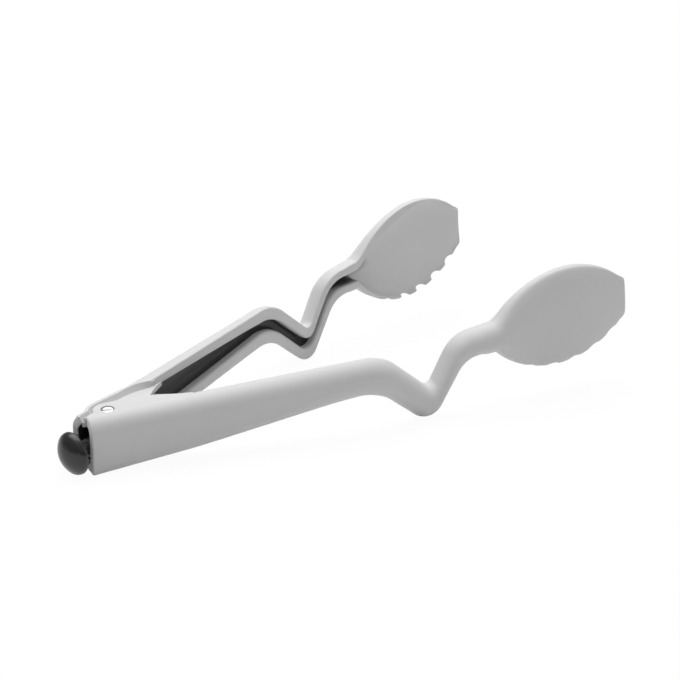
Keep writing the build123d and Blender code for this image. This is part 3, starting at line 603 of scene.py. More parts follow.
# The silicone's colour is darkened here: painted shade where the dish runs deep into the neck.
feed(silicone_shader, "Base Color", (1 - away.stretch(0.50, 1.0)).between(pale, ROOT_PAINTED_SHADE))
print("dark patch at", tuple(round(v, 4) for v in root_place))


# %% [markdown]
# A section is drawn in its own plane, u outwards and v upwards, as runs and quarter ellipses. The skin's ring
# goes round the outside, over the rim, down the lining, and back along the face that it shares with the core.
# The core's ring follows the channel and the same shared face.

# %% A section's rings
RIM_EDGE = 0.9
MOUTH_EDGE = 1.5
RIM_LEAN = 0.14
LEAST_RIM, LEAST_REACH = 0.6, 0.1
NECK_CORNER, HEAD_CORNER = (0.40, 0.25), (0.85, 0.42)
SHARED_POINTS = 60


def run(a, b, count):
    """Points from a towards b, without b."""
    return [(a[0] + (b[0] - a[0]) * k / count, a[1] + (b[1] - a[1]) * k / count) for k in range(count)]


def quarter(centre, reach, rise, start, count):
    """Points of a quarter ellipse from an angle in quarter turns, without its last point. It runs clockwise."""
    angles = [(start - k / count) * pi / 2 for k in range(count)]
    return [(centre[0] + reach * cos(a), centre[1] + rise * sin(a)) for a in angles]


def settled(height, sizes, station):
    """Sizes with the inset added, and the channel kept clear of a ring that is drawn in."""
    inset = station.get("inset", 0.0)
    sizes["inset"] = inset
    sizes["h_low"] = max(sizes["h_low"], inset + LEAST_RIM)
    sizes["h_high"] = min(sizes["h_high"], height - inset - LEAST_RIM)
    sizes["h_far"] = max(sizes["h_far"], inset + LEAST_REACH)
    if station.get("plain"):
        sizes["fade"] = 1.0
    return height, sizes


def section_sizes(station):
    """Height, depths, roundings and the channel's limits at a station."""
    up = on_rim(station["top"]) - on_rim(station["low"])
    height = float(np.linalg.norm(up))
    if station["kind"] == "head":
        share = station["share"]
        depth = NECK_DEPTH * law(DEPTH, share)
        sizes = dict(depth=depth, top=(depth * (1 - law(EDGE, share)), height * law(ROUND, share)),
                     low=(depth * (1 - law(LOW_EDGE, share)), height * law(LOW_ROUND, share)),
                     h_low=HANDLE_RIM * law(LOW_RIM, share), h_high=height - HANDLE_RIM * law(RIM, share),
                     h_far=depth - HEAD_WALL)
        sizes["fade"] = ramp(share, *CORE_FADE)
        wide = ramp(share, HEAD_START, CORNER_EASED)
        sizes["corner"] = [a + (b - a) * wide for a, b in zip(NECK_CORNER, HEAD_CORNER)]
        return settled(height, sizes, station)
    x = (station["top"][0] + station["low"][0]) / 2
    depth, top, low = [float(np.interp(x, SECTION_X, row)) for row in (SIDE_DEPTH, TOP_ROUNDS, LOW_ROUNDS)]
    sizes = dict(depth=depth, top=(top, min(top, height * ROUND[0])), low=(low, min(low, height * ROUND[0])),
                 h_far=depth - CHANNEL_WALL, corner=NECK_CORNER, fade=0.0)
    slot = min(height - 2 * HANDLE_RIM, float(np.interp(x, *zip(*SLOT_EASE))))
    sizes["h_low"], sizes["h_high"] = (height - slot) / 2, (height + slot) / 2
    return settled(height, sizes, station)


def outer_path(height, z, inset, u_start, lean=0.0):
    """From the top edge near the rim, round the outside, to the bottom edge near the rim."""
    inset = inset + z["inset"]
    u_start = u_start + z["inset"]
    u_top = u_start + lean
    squeeze = (z["depth"] - 2 * inset) / z["depth"]
    top, low = (z["top"][0] * squeeze, z["top"][1] * squeeze), (z["low"][0] * squeeze, z["low"][1] * squeeze)
    far, high, base = z["depth"] - inset, height - inset, inset
    return (run((u_top, high), (far - top[0], high), 4)
            + quarter((far - top[0], high - top[1]), *top, 1, 14)
            + run((far, high - top[1]), (far, base + low[1]), 10)
            + quarter((far - low[0], base + low[1]), *low, 0, 9)
            + run((far - low[0], base), (u_start, base), 4) + [(u_start, base)])


def deep_path(z):
    """Round the inside of the channel, from the lining's lower edge to its upper edge."""
    low, high, far = z["h_low"], z["h_high"], z["h_far"]
    reach, drop = z["corner"][0] * far, z["corner"][1] * (high - low)
    bend_u = far - reach
    lower = [(bend_u + reach * sin(a), low + drop - drop * cos(a)) for a in np.linspace(0, pi / 2, 12)[:-1]]
    side = run((far, low + drop), (far, high - drop), 8)
    upper = [(u, low + high - v) for u, v in reversed(lower)]
    return lower + side + [(far, high - drop)] + upper


def shared_path(height, z):
    """The face between skin and core, from the lining's lower edge to its upper edge."""
    deep = deep_path(z)
    start_u, low_v = deep[0]
    high_v = deep[-1][1]
    outside = outer_path(height, z, SKIN, SKIN)[::-1]
    path = [(start_u, low_v), (start_u, low_v - SKIN), (SKIN, low_v - SKIN)] + outside
    path += [(SKIN, high_v + SKIN), (start_u, high_v + SKIN), (start_u, high_v)]
    return path


def resampled(path, count):
    """The same path with its points spread evenly by length."""
    path = np.array(path)
    lengths = np.concatenate([[0], np.cumsum(np.linalg.norm(np.diff(path, axis=0), axis=1))])
    even = np.linspace(0, lengths[-1], count)
    return np.stack([np.interp(even, lengths, path[:, i]) for i in (0, 1)], 1)


def rings(station):
    """The skin's and the core's rings at a station, in (u, v). An inset draws a ring in, to round an end."""
    height, z = section_sizes(station)
    inset, fade, low, high = z["inset"], z["fade"], z["h_low"], z["h_high"]
    deep = deep_path(z)
    start_u = deep[0][0]
    rim = min(low, height - high) - inset
    e = min(RIM_EDGE, rim * 0.5)
    m = min(MOUTH_EDGE, rim * 0.4, max(0.02, (start_u - inset) * 0.8))
    high_lean, low_lean = RIM_LEAN * (height - high), RIM_LEAN * low
    even_deep = resampled(deep, SHARED_POINTS)
    shared = resampled(shared_path(height, z), SHARED_POINTS) * (1 - fade) + even_deep * fade
    skin = outer_path(height, z, 0, e, high_lean)
    skin += quarter((inset + e, inset + e), e, e, -1, 4)
    skin += run((0, inset + e), (low_lean, low - m), 3)
    skin += quarter((low_lean + m, low - m), m, m, -2, 4)
    skin += run((low_lean + m, low), (start_u, low), 4)
    skin += [tuple(p) for p in shared]
    skin += run((start_u, high), (m, high), 4)[1:]
    skin += quarter((m, high + m), m, m, -1, 4)
    skin += run((0, high + m), (high_lean, height - inset - e), 3)
    skin += quarter((high_lean + inset + e, height - inset - e), e, e, -2, 4)
    skin = [(max(u, inset), v) for u, v in skin]
    core = [tuple(p) for p in even_deep] + [tuple(p) for p in shared[::-1][1:-1]]
    return skin, core


def on_station(station, ring):
    """A ring's points in the arm's frame."""
    outward = np.array((sin(station["turn"]), cos(station["turn"]), 0))
    base = on_rim(station["low"])
    up = on_rim(station["top"]) - base
    up = up / np.linalg.norm(up)
    return [base + outward * u + up * v for u, v in ring]


skin_ring, core_ring = rings(stations()[4])
print("points in a ring:", len(skin_ring), len(core_ring))


# %% [markdown]
# The two arms share one drawing. The left one is turned out by the opening angle; the right one is mirrored
# first. Mirroring turns a mesh inside out, so the faces are turned again after it.

# %% Placing an arm
def arm_matrix(side):
    """From the arm's frame to the bench, for side +1 (left) or -1 (right)."""
    swing = Matrix.Rotation(side * OPEN_ANGLE, 4, "Z")
    flip = Matrix.Diagonal((1, side, 1, 1))
    return to_bench @ swing @ flip


def placed(mesh, side, name):
    """A bmesh in the arm's frame as an object on the bench, faces outwards."""
    mesh.transform(arm_matrix(side))
    face_outwards(mesh)
    return as_object(mesh, name)


def prism(outline, low, high):
    """A straight prism on an (x, y) outline between two heights."""
    return lofted([[(x, y, z) for x, y in outline] for z in (low, high)])


print("left arm matrix determinant sign", arm_matrix(1).determinant() > 0)

# %% [markdown]
# The scallops are cut from one smooth curve. Five circles bite into the head's lower edge, the edge between
# them is kept, and then the whole curve is blurred along its length by 0.7 mm. That rounds the teeth as a
# mould does, which plain circles would leave knife-sharp.

# %% The scalloped edge
SCALLOP_RADIUS, SCALLOP_CUTS = 6.0, (1.0, 1.7, 1.9, 1.9, 1.7)
SCALLOPS = (-0.499, -0.169, 0.144, 0.447, 0.715)
BITE_BLUR = 0.7
BITE_STEP = 0.12
TOOTH_CLEAR, TOOTH_EASE = 0.3, 0.12
CUTTER_AHEAD, CUTTER_LOW, CUTTER_ACROSS = 9.0, -40.0, (-9.0, 24.0)


def bitten(point, centres):
    """Which circle a point of the edge lies in, if any."""
    inside = [i for i, centre in enumerate(centres) if np.linalg.norm(point - centre) < SCALLOP_RADIUS]
    return inside[0] if inside else None


def scallop_curve():
    """The head's lower outline in (x, z) with the bites, as a smooth polyline."""
    shares = np.linspace(-0.72, 0.93, 1400)
    edge = np.array([head_ends(float(s))[1] for s in shares])
    centres = []
    for share, cut in zip(SCALLOPS, SCALLOP_CUTS):
        low, ahead = head_ends(share)[1], head_ends(share + 0.01)[1]
        along = (ahead - low) / np.linalg.norm(ahead - low)
        centres.append(low + np.array((along[1], -along[0])) * (SCALLOP_RADIUS - cut))
    curve = []
    for owner, points in groupby(edge, lambda p: bitten(p, centres)):
        points = list(points)
        if owner is None:
            curve += points
            continue
        start, end = [atan2(*(p - centres[owner])[::-1]) for p in (points[0], points[-1])]
        start += 2 * pi if start < end else 0
        angles = np.linspace(start, end, 80)
        curve += list(centres[owner] + SCALLOP_RADIUS * np.stack([np.cos(angles), np.sin(angles)], 1))
    length = np.sum(np.linalg.norm(np.diff(np.array(curve), axis=0), axis=1))
    curve = resampled(curve, int(length / BITE_STEP))
    reach = int(3 * BITE_BLUR / BITE_STEP)
    weights = np.exp(-0.5 * (np.arange(-reach, reach + 1) * BITE_STEP / BITE_BLUR) ** 2)
    weights /= weights.sum()
    padded = np.pad(curve, ((reach, reach), (0, 0)), "edge")
    curve = np.stack([np.convolve(padded[:, i], weights, "valid") for i in (0, 1)], 1)
    depth = np.array([np.min(np.linalg.norm(edge - p, axis=1)) for p in curve])
    away = curve - np.array((HEAD_X, HEAD_Z))
    away /= np.linalg.norm(away, axis=1)[:, None]
    return curve + away * (TOOTH_CLEAR * np.clip(1 - depth / TOOTH_EASE, 0, 1))[:, None]


def scallop_cutter():
    """What lies below the scalloped curve, as a prism across the head."""
    curve = scallop_curve()
    start, end = curve[0], curve[-1]
    outline = [*curve[::3], end, (end[0] + CUTTER_AHEAD, -CUTTER_AHEAD), (end[0] + CUTTER_AHEAD, CUTTER_LOW),
               (start[0] - 1, CUTTER_LOW), (start[0] - 1, start[1] - 1)]
    outward = np.array((sin(INWARD), cos(INWARD), 0))
    return lofted([[on_rim(p) + outward * depth for p in outline] for depth in CUTTER_ACROSS])


print("scallop curve points", len(scallop_curve()))

# %% [markdown]
# At the hinge the two arms share one pin, so each gives way to the other. Behind the pin a wedge is cut from
# both. The right arm keeps its top face and carries it over the pin as the outer ear; the left arm is sunk
# under it and carries the inner ear. On the real tongs the ears are moulded in one with the arms.

# %% Sizes at the hinge
EAR_RADIUS, EAR_FLANK_X, EAR_WAIST = 7.2, 16.0, (25.5, 5.4)
EAR_ROOT_X, EAR_NECK, EAR_OVERLAP = 43.0, (34.5, 2.1), 5.0
OUTER_EAR, INNER_EAR, INNER_EAR_SKIN, EAR_GAP = 2.6, 2.4, 0.8, 0.3
RECESS_GAP, RECESS_SIDE = 0.4, 5.6
RECESS_SHOULDER, RECESS_RIDGE, RECESS_NECK, RECESS_ROOT_X = (1.8, 7.7), (21.0, 5.0), (29.0, 2.6), 35.0
TAIL_GAP, FAR, LINER_INSET = 0.35, 40.0, 1.0
POCKET_FLARE, POCKET_OVER, LINER_SIDE, LINER_FIT = 2.2, 0.6, 0.12, 0.01
OUTER_EAR_ROUND, INNER_EAR_ROUND = 0.5, 0.3
PIN_RADIUS, PIN_HEAD_RADIUS, PIN_FIT = 2.0, 3.1, 0.05
TOP_SLOPE = (TAIL_HALF - HANDLE_END_HALF) / (HANDLE_END_X - TAIL_X)
TOP_AT_PIN = half_height(0)


def smooth_curve(points, count):
    """A Catmull-Rom curve through points."""
    p = [np.array(q, float) for q in points]
    p = [2 * p[0] - p[1]] + p + [2 * p[-1] - p[-2]]
    curve = []
    for i in range(1, len(p) - 2):
        for k in range(count):
            t = k / count
            a, b, c, d = p[i - 1], p[i], p[i + 1], p[i + 2]
            curve.append(0.5 * (2 * b + (c - a) * t + (2 * a - 5 * b + 4 * c - d) * t ** 2
                                + (3 * b - 3 * c + d - a) * t ** 3))
    return [tuple(q) for q in curve] + [tuple(p[-2])]


def ear_outline(grow=0.0):
    """Plan of an ear, anticlockwise from its root in the arm's rim."""
    radius = EAR_RADIUS + grow
    front = smooth_curve([(EAR_ROOT_X, 0), (EAR_NECK[0], -EAR_NECK[1] - grow),
                          (EAR_WAIST[0], -EAR_WAIST[1] - grow), (EAR_FLANK_X, -radius)], 8)
    front += [(EAR_FLANK_X * (1 - k / 4), -radius) for k in range(1, 4)]
    circle = [(-radius * sin(a), -radius * cos(a)) for a in np.linspace(0, pi / 2, 20)]
    return (front + circle + [(TAIL_X - grow, EAR_OVERLAP), (EAR_ROOT_X, EAR_OVERLAP)])[::-1]


def recess_outline(grow=0.0):
    """Plan of the pocket that the other arm's ear swings in."""
    radius = EAR_RADIUS + RECESS_GAP + grow
    behind = (TAIL_X - FAR, RECESS_SIDE + grow)
    meet = atan2(RECESS_SIDE + grow, -sqrt(radius ** 2 - (RECESS_SIDE + grow) ** 2))
    shoulder = (RECESS_SHOULDER[0], RECESS_SHOULDER[1] + grow)
    leave = atan2(shoulder[1], shoulder[0]) + 0.02
    circle = [(radius * cos(a), radius * sin(a)) for a in np.linspace(meet, leave, 16)]
    ridge = smooth_curve([shoulder, (RECESS_RIDGE[0], RECESS_RIDGE[1] + grow),
                          (RECESS_NECK[0], RECESS_NECK[1] + grow), (RECESS_ROOT_X + grow, 0)], 6)
    return ([(TAIL_X - FAR, -FAR), behind] + circle + ridge + [(RECESS_ROOT_X + grow, -FAR)])[::-1]


def merged(first, second):
    """Two bmeshes as one."""
    data = bpy.data.meshes.new("merged")
    second.to_mesh(data)
    second.free()
    first.from_mesh(data)
    bpy.data.meshes.remove(data)
    return first


def both_faces(layers, name, side, low_order=-1):
    """A solid through (depth, outline) layers under the handle's top, and its mirror image above its bottom.

    Both are lofted upwards. With low_order 1 the lower one is lofted downwards, which changes only how its walls
    are split into triangles. The Booleans are tuned to these orders.
    """
    top, low = [lofted([[(x, y, sign * (TOP_AT_PIN - depth - TOP_SLOPE * x)) for x, y in outline]
                        for depth, outline in layers[::order]]) for sign, order in ((1, 1), (-1, low_order))]
    return placed(merged(top, low), side, name)


def shrunk(outline, amount):
    """An outline set in by an amount, from its neighbours' directions."""
    points = np.array(outline)
    ahead = np.roll(points, -1, 0) - points
    ahead /= np.linalg.norm(ahead, axis=1)[:, None]
    behind = np.roll(ahead, 1, 0)
    normal = np.stack([-(ahead + behind)[:, 1], (ahead + behind)[:, 0]], 1)
    normal /= np.maximum(np.linalg.norm(normal, axis=1)[:, None], 1e-9)
    spread = np.maximum(0.5, np.sum(normal * np.stack([-ahead[:, 1], ahead[:, 0]], 1), axis=1))
    return points + normal * (amount / spread)[:, None]


def ear_plates(drop, thickness, rounding, side, grow=0.0):
    """The top ear, with rounded upper edges unless the rounding is 0, and its mirror image."""
    outline = ear_outline(grow)
    layers = [(drop + thickness, outline)]
    if rounding:
        layers += [(drop + rounding * (1 - sin(a)), shrunk(outline, rounding * (1 - cos(a))))
                   for a in np.linspace(0, pi / 2, 5)]
    else:
        layers.append((drop, outline))
    return both_faces(layers, "ear", side, low_order=1)


def pocket(grow, floor, side):
    """The pocket with its sloping wall, as a cutter."""
    flare = POCKET_FLARE * (floor + POCKET_OVER) / (OUTER_EAR + EAR_GAP)
    return both_faces([(floor, recess_outline(grow)), (-POCKET_OVER, recess_outline(grow + flare))],
                      "pocket", side)


def pocket_liner(side):
    """Silicone on the pocket's floor and wall, as one closed piece."""
    floor = OUTER_EAR + EAR_GAP
    flare = POCKET_FLARE * (floor + INNER_EAR_SKIN - SKIN / 2) / floor
    low, high = [[(max(x, TAIL_X + LINER_INSET), max(y, LINER_SIDE)) for x, y in recess_outline(grow)]
                 for grow in (SKIN - LINER_FIT, SKIN - LINER_FIT + flare)]
    shell = both_faces([(floor + INNER_EAR_SKIN, low), (SKIN / 2, high)], "liner", side)
    carve(shell, [pocket(0.0, floor, side)])
    return shell


def tail_wedge(gap, side):
    """What is cut off behind the pin."""
    end = TAIL_X - FAR
    outline = [(0, -FAR), (0, gap), (end, -end * tan(OPEN_ANGLE) + gap), (end, -FAR)]
    return placed(prism(outline, -FAR, FAR), side, "wedge")


def hole(radius, side):
    outline = [(radius * cos(a), radius * sin(a)) for a in np.linspace(0, 2 * pi, 65)[:-1]]
    return placed(prism(outline, -FAR, FAR), side, "hole")


print("ear outline", len(ear_outline()), "recess outline", len(recess_outline()))

# %% [markdown]
# Now the arm itself. The skin's rings are lofted from tail to tip, with the last few drawn in so that the
# tip's edge is rounded. The core's rings stop where it has thinned to nothing inside the head. Boolean cuts
# then shape the hinge, in the same order as a toolmaker would cut the mould.

# %% Lofting an arm
CORE_END_SHARE = -1.06


def arm_rings():
    skin_rings, core_rings = [], []
    for station in stations():
        skin, core = rings(station)
        skin_rings.append(on_station(station, skin))
        in_core = station["kind"] != "head" or station["share"] <= CORE_END_SHARE
        if in_core and not station.get("plain"):
            core_rings.append(on_station(station, core))
    return skin_rings, core_rings


def arm(side, word):
    skin_rings, core_rings = arm_rings()
    skin = placed(lofted(skin_rings), side, word + "_arm_silicone")
    core = placed(lofted(core_rings), side, word + "_arm_nylon")
    carve(skin, [placed(scallop_cutter(), side, "bites")])
    ear_top = OUTER_EAR + EAR_GAP
    if side > 0:
        carve(skin, [pocket(0.0, ear_top, side)])
        carve(core, [pocket(SKIN, ear_top + INNER_EAR_SKIN, side)])
        carve(skin, [pocket_liner(side)], "UNION")
    carve(skin, [tail_wedge(TAIL_GAP, side)])
    carve(core, [tail_wedge(TAIL_GAP + SKIN, side)])
    if side < 0:
        floor = ear_top + INNER_EAR + EAR_GAP
        for piece, grow in ((skin, 0.0), (core, SKIN / 2)):
            outline = recess_outline(grow)
            carve(piece, [both_faces([(floor, outline), (OUTER_EAR, outline)], "relief", side)])
        carve(skin, [ear_plates(0, OUTER_EAR, OUTER_EAR_ROUND, side)], "UNION")
        carve(core, [ear_plates(SKIN, OUTER_EAR - SKIN, 0, side, -SKIN)], "UNION")
        carve(skin, [ear_plates(SKIN, OUTER_EAR, 0, side, -SKIN), hole(PIN_HEAD_RADIUS + EAR_GAP, side)])
    else:
        core_top = ear_top + INNER_EAR_SKIN
        carve(skin, [ear_plates(ear_top, INNER_EAR, INNER_EAR_ROUND, side)], "UNION")
        carve(core, [ear_plates(core_top, INNER_EAR - INNER_EAR_SKIN, 0, side, -INNER_EAR_SKIN)], "UNION")
        carve(skin, [ear_plates(core_top, INNER_EAR, 0, side, -INNER_EAR_SKIN),
                     hole(PIN_RADIUS + EAR_GAP, side)])
    carve(core, [hole(PIN_RADIUS + PIN_FIT, side)])
    body = word + "_arm"
    finish_piece(skin, silicone, body, "silicone_grey", word + "_arm_skin")
    finish_piece(core, nylon, body, "nylon", word + "_arm_core")


arm(1, "left")
arm(-1, "right")

# %% [markdown]
# Things that are turned on a lathe are one outline spun round an axis: the knob, its stiff core and the
# rivet. The knob is a low dome with a rolled edge. A faint line round it shows where the mould's halves met.


# %% Turned pieces
def spun(outline, place, count):
    """A bmesh of (along, radius) points spun round an axis. place turns along and across into a point."""
    mesh = bmesh.new()
    rows = []
    for along, radius in outline:
        angles = [2 * pi * k / count for k in range(count if radius else 1)]
        rows.append([mesh.verts.new(place(along, radius * cos(a), radius * sin(a))) for a in angles])
    for a, b in zip(rows, rows[1:] + rows[:1]):
        for i in range(count):
            j = (i + 1) % count
            # each corner once: a ring of radius 0 is a single point
            corners = dict.fromkeys((a[i % len(a)], a[j % len(a)], b[j % len(b)], b[i % len(b)]))
            if len(corners) > 2:
                mesh.faces.new(list(corners))
    bmesh.ops.recalc_face_normals(mesh, faces=mesh.faces)
    return mesh


def along_pin(along, a, b):
    return Vector((a, b, along))


def along_button(along, a, b):
    return Vector((along, a, b + BUTTON_Z))


def turned(outline, place, name, count=96):
    """A spun piece on the bench."""
    mesh = spun(outline, place, count)
    mesh.transform(to_bench)
    return as_object(mesh, name)


BUTTON_Z = -2.4
CAP_RADIUS, CAP_RIM_X, CAP_DOME, CAP_EDGE = 10.7, -21.2, 6.8, 4.0
CAP_BACK, CAP_WALL, CAP_LIP, CAP_BACK_RADIUS = 1.5, 1.6, 0.8, 7.6
CAP_LIP_ROUND, STEM_RADIUS, STEM_ROUND, STEM_GRIP = 0.3, 3.2, 0.2, 3.6


def dome(inset, roll, count=14):
    """The dome's outline from its middle round the edge to its back."""
    flat = CAP_RADIUS - CAP_EDGE
    radius = (CAP_DOME ** 2 + flat ** 2 - CAP_EDGE ** 2) / (2 * (CAP_DOME - CAP_EDGE))
    centre = CAP_RIM_X - CAP_DOME + radius
    lean = atan2(flat, centre - CAP_RIM_X)
    inner = radius - inset
    points = [(centre - inner * cos(a), inner * sin(a)) for a in np.linspace(0, lean, count)]
    edge = CAP_EDGE - inset
    points += [(CAP_RIM_X - edge * cos(a), flat + edge * sin(a)) for a in np.linspace(lean, pi / 2, count)[1:]]
    rim = flat + edge
    points += [(CAP_RIM_X + roll * sin(a), rim - roll + roll * cos(a)) for a in np.linspace(0, pi / 2, 8)[1:]]
    return points


back_x = CAP_RIM_X + CAP_BACK
cap_outline = dome(0, CAP_BACK)
cap_outline += [(back_x, CAP_BACK_RADIUS + CAP_LIP_ROUND),
                (back_x - CAP_LIP_ROUND / 3, CAP_BACK_RADIUS + CAP_LIP_ROUND / 3),
                (back_x - CAP_LIP_ROUND, CAP_BACK_RADIUS), (back_x - CAP_LIP, CAP_BACK_RADIUS)]
cap_outline += dome(CAP_WALL, CAP_BACK - CAP_LIP)[::-1]
SEAM_AT, SEAM_DEEP, SEAM_WIDE = 9.2, 0.05, 0.16
cap_outline = [(x + SEAM_DEEP * max(0.0, 1 - abs(r - SEAM_AT) / SEAM_WIDE) if x < CAP_RIM_X else x, r)
               for x, r in cap_outline]
core_outline = dome(CAP_WALL, CAP_BACK - CAP_LIP)
core_outline += [(back_x - CAP_LIP, CAP_BACK_RADIUS), (back_x, CAP_BACK_RADIUS),
                 (back_x, STEM_RADIUS + STEM_ROUND), (back_x - STEM_ROUND, STEM_RADIUS),
                 (back_x - STEM_GRIP, STEM_RADIUS), (back_x - STEM_GRIP, 0)]
finish_piece(turned(cap_outline, along_button, "knob"), rubber, "button", "soft_black", "button_cap")
finish_piece(turned(core_outline, along_button, "knob_disc"), housing_black, "button", "housing_plastic",
             "button_core")

# %% [markdown]
# The rivet's head is low, polished and nearly flat, and sits in the ear's round hole. It is the one bright
# point on the tongs, so its edge is rounded properly.

# %% The rivet
HEAD_SUNK, HEAD_HIGH, HEAD_FOOT, HEAD_ROUND = 0.13, 0.8, 0.06, 0.9
CROWN_RADIUS, CROWN_RISE = 1.1, 0.04
seat = TOP_AT_PIN - SKIN + HEAD_SUNK
head = [(seat, PIN_RADIUS), (seat, PIN_HEAD_RADIUS - 0.1), (seat + HEAD_FOOT, PIN_HEAD_RADIUS)]
head += [(seat + HEAD_FOOT + (HEAD_HIGH - HEAD_FOOT) * sin(a), PIN_HEAD_RADIUS - HEAD_ROUND * (1 - cos(a)))
         for a in np.linspace(0.15, pi / 2, 9)]
head += [(seat + HEAD_HIGH + CROWN_RISE, CROWN_RADIUS), (seat + HEAD_HIGH + CROWN_RISE + 0.01, 0)]
rivet_outline = [(-z, r) for z, r in head[::-1]] + head
finish_piece(turned(rivet_outline, along_pin, "rivet", 72), rivet_steel, "pivot_core", "steel", "hinge_pin")

# %% [markdown]
# Springs are wire along a line. Both lines are drawn as points, because the torsion spring needs two straight
# legs with a bend each, and a small Geometry Nodes tree thickens them, in a radius that can be turned by hand
# later. The torsion spring is two pieces that meet in its coil.


# %% Geometry Nodes for springs and screws
def node_tree(name, inputs, nodes, links):
    """A geometry tree whose last steps make the result real and paint it, and its inputs' identifiers.

    A link is (node, socket, node, socket). The group's inputs belong to "group". The last steps start at "end".
    """
    tree = bpy.data.node_groups.new(name, "GeometryNodeTree")
    tree.interface.new_socket("Geometry", in_out="OUTPUT", socket_type="NodeSocketGeometry")
    names = {}
    for label, kind in {"Geometry": "Geometry", **inputs, "Material": "Material"}.items():
        socket = tree.interface.new_socket(label, in_out="INPUT", socket_type="NodeSocket" + kind)
        names[label] = socket.identifier
    made = {key: tree.nodes.new("GeometryNode" + kind) for key, kind in nodes.items()}
    made["group"] = tree.nodes.new("NodeGroupInput")
    made["end"] = tree.nodes.new("GeometryNodeRealizeInstances")
    made["paint"] = tree.nodes.new("GeometryNodeSetMaterial")
    made["result"] = tree.nodes.new("NodeGroupOutput")
    for source, output, target, socket in (*links, ("end", "Geometry", "paint", "Geometry"),
                                           ("group", "Material", "paint", "Material"),
                                           ("paint", "Geometry", "result", "Geometry")):
        tree.links.new(made[source].outputs[output], made[target].inputs[socket])
    return tree, names


def grown(carrier, tree, names, values, name):
    """Run a tree on a carrier object and keep the result as a plain mesh object."""
    modifier = carrier.modifiers.new("grow", "NODES")
    modifier.node_group = tree
    for label, value in values.items():
        modifier[names[label]] = value
    graph = bpy.context.evaluated_depsgraph_get()
    graph.update()
    data = bpy.data.meshes.new_from_object(carrier.evaluated_get(graph))
    bpy.data.objects.remove(carrier)
    return new_object(name, data)


def line_object(points, name):
    """A mesh of one open run of edges, on the bench."""
    data = bpy.data.meshes.new(name)
    data.from_pydata([to_bench @ Vector(p) for p in points], [(i, i + 1) for i in range(len(points) - 1)], [])
    return new_object(name, data)


def helix(radius, pitch, turns, steps=40):
    angles = [2 * pi * k / steps for k in range(int(turns * steps) + 1)]
    return [(radius * cos(a), radius * sin(a), pitch * a / (2 * pi)) for a in angles]


tree, names = node_tree(
    "round wire", {"Wire radius": "Float", "Sides": "Int"},
    {"line": "MeshToCurve", "ring": "CurvePrimitiveCircle", "tube": "CurveToMesh"},
    (("group", "Geometry", "line", "Mesh"), ("group", "Wire radius", "ring", "Radius"),
     ("group", "Sides", "ring", "Resolution"), ("line", "Curve", "tube", "Curve"),
     ("ring", "Curve", "tube", "Profile Curve"), ("tube", "Mesh", "end", "Geometry")))
tree.nodes["Curve to Mesh"].inputs["Fill Caps"].default_value = True
print("wire tree nodes", len(tree.nodes))

# %% Torsion spring
COIL, COIL_PITCH, COIL_TURNS, COIL_LOW, COIL_WIRE = 4.0, 1.5, 2, 2.7, 0.5
LEG_OUT, LEG_BEND, LEG_ALONG = 8.2, 2.5, 5.0


def leg(side, z):
    """A leg's points from the coil outwards."""
    sweep = np.linspace(0, pi / 2 - OPEN_ANGLE, 12)
    bend = [(COIL + LEG_BEND - LEG_BEND * cos(a), side * (LEG_OUT + LEG_BEND * sin(a)), z) for a in sweep]
    end = (bend[-1][0] + LEG_ALONG * cos(OPEN_ANGLE), bend[-1][1] + side * LEG_ALONG * sin(OPEN_ANGLE), z)
    return [(COIL, side * LEG_OUT * k / 4, z) for k in range(1, 4)] + bend + [end]


coil = [(x, y, z + COIL_LOW) for x, y, z in helix(COIL, COIL_PITCH, COIL_TURNS)]
for side, line, body, name in (
        (1, coil + leg(1, COIL_LOW + COIL_PITCH * COIL_TURNS), "left_arm", "torsion_coil"),
        (-1, [coil[1], coil[0]] + leg(-1, COIL_LOW), "right_arm", "torsion_leg")):
    wire = grown(line_object(line, name + " line"), tree, names,
                 {"Wire radius": COIL_WIRE * MM, "Sides": 14, "Material": spring_wire}, name)
    bend = (body, to_bench @ Vector((COIL, 0, 0)), to_bench @ Vector((COIL, side * LEG_OUT, 0)))
    finish_piece(wire, spring_wire, "pivot_core", "spring_steel", "torsion_spring", weld=WIRE_WELD, bend=bend)

# %% Return spring
rear_x, front_x, RETURN_COIL, RETURN_WIRE = 17.35, 31.25, 1.95, 0.3
turns = [(rear_x + z, x, y + BUTTON_Z) for x, y, z in helix(RETURN_COIL, (front_x - rear_x) / 5, 5)]
return_coil = grown(line_object(turns, "return line"), tree, names,
                    {"Wire radius": RETURN_WIRE * MM, "Sides": 10, "Material": spring_wire}, "return_coil")
finish_piece(return_coil, spring_wire, "pivot_core", "spring_steel", "return_spring", weld=WIRE_WELD)
press = max(abs(limit) for limit in joints["button_press"]["range_m"]) / MM
1 - press / (front_x - rear_x)
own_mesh(return_coil)

# %% [markdown]
# Four screws of one kind hold the housing together. One screw is drawn, with its cross recess, and a small
# tree stands a copy on each of four points.

# %% Housing screws
SCREW_AT = [(x, y) for x in (12.0, 31.0) for y in (-5.9, 5.9)]
SCREW_HEAD, SCREW_HEAD_HIGH, SCREW_SHANK, SCREW_TOP = 1.9, 1.2, 1.1, 2.6
SCREW_BOTTOM, THREAD_PITCH, THREAD_DEPTH = -6.8, 0.5, 0.25
CROSS_SIZE = (2.4, 0.45, 1.1, 1)


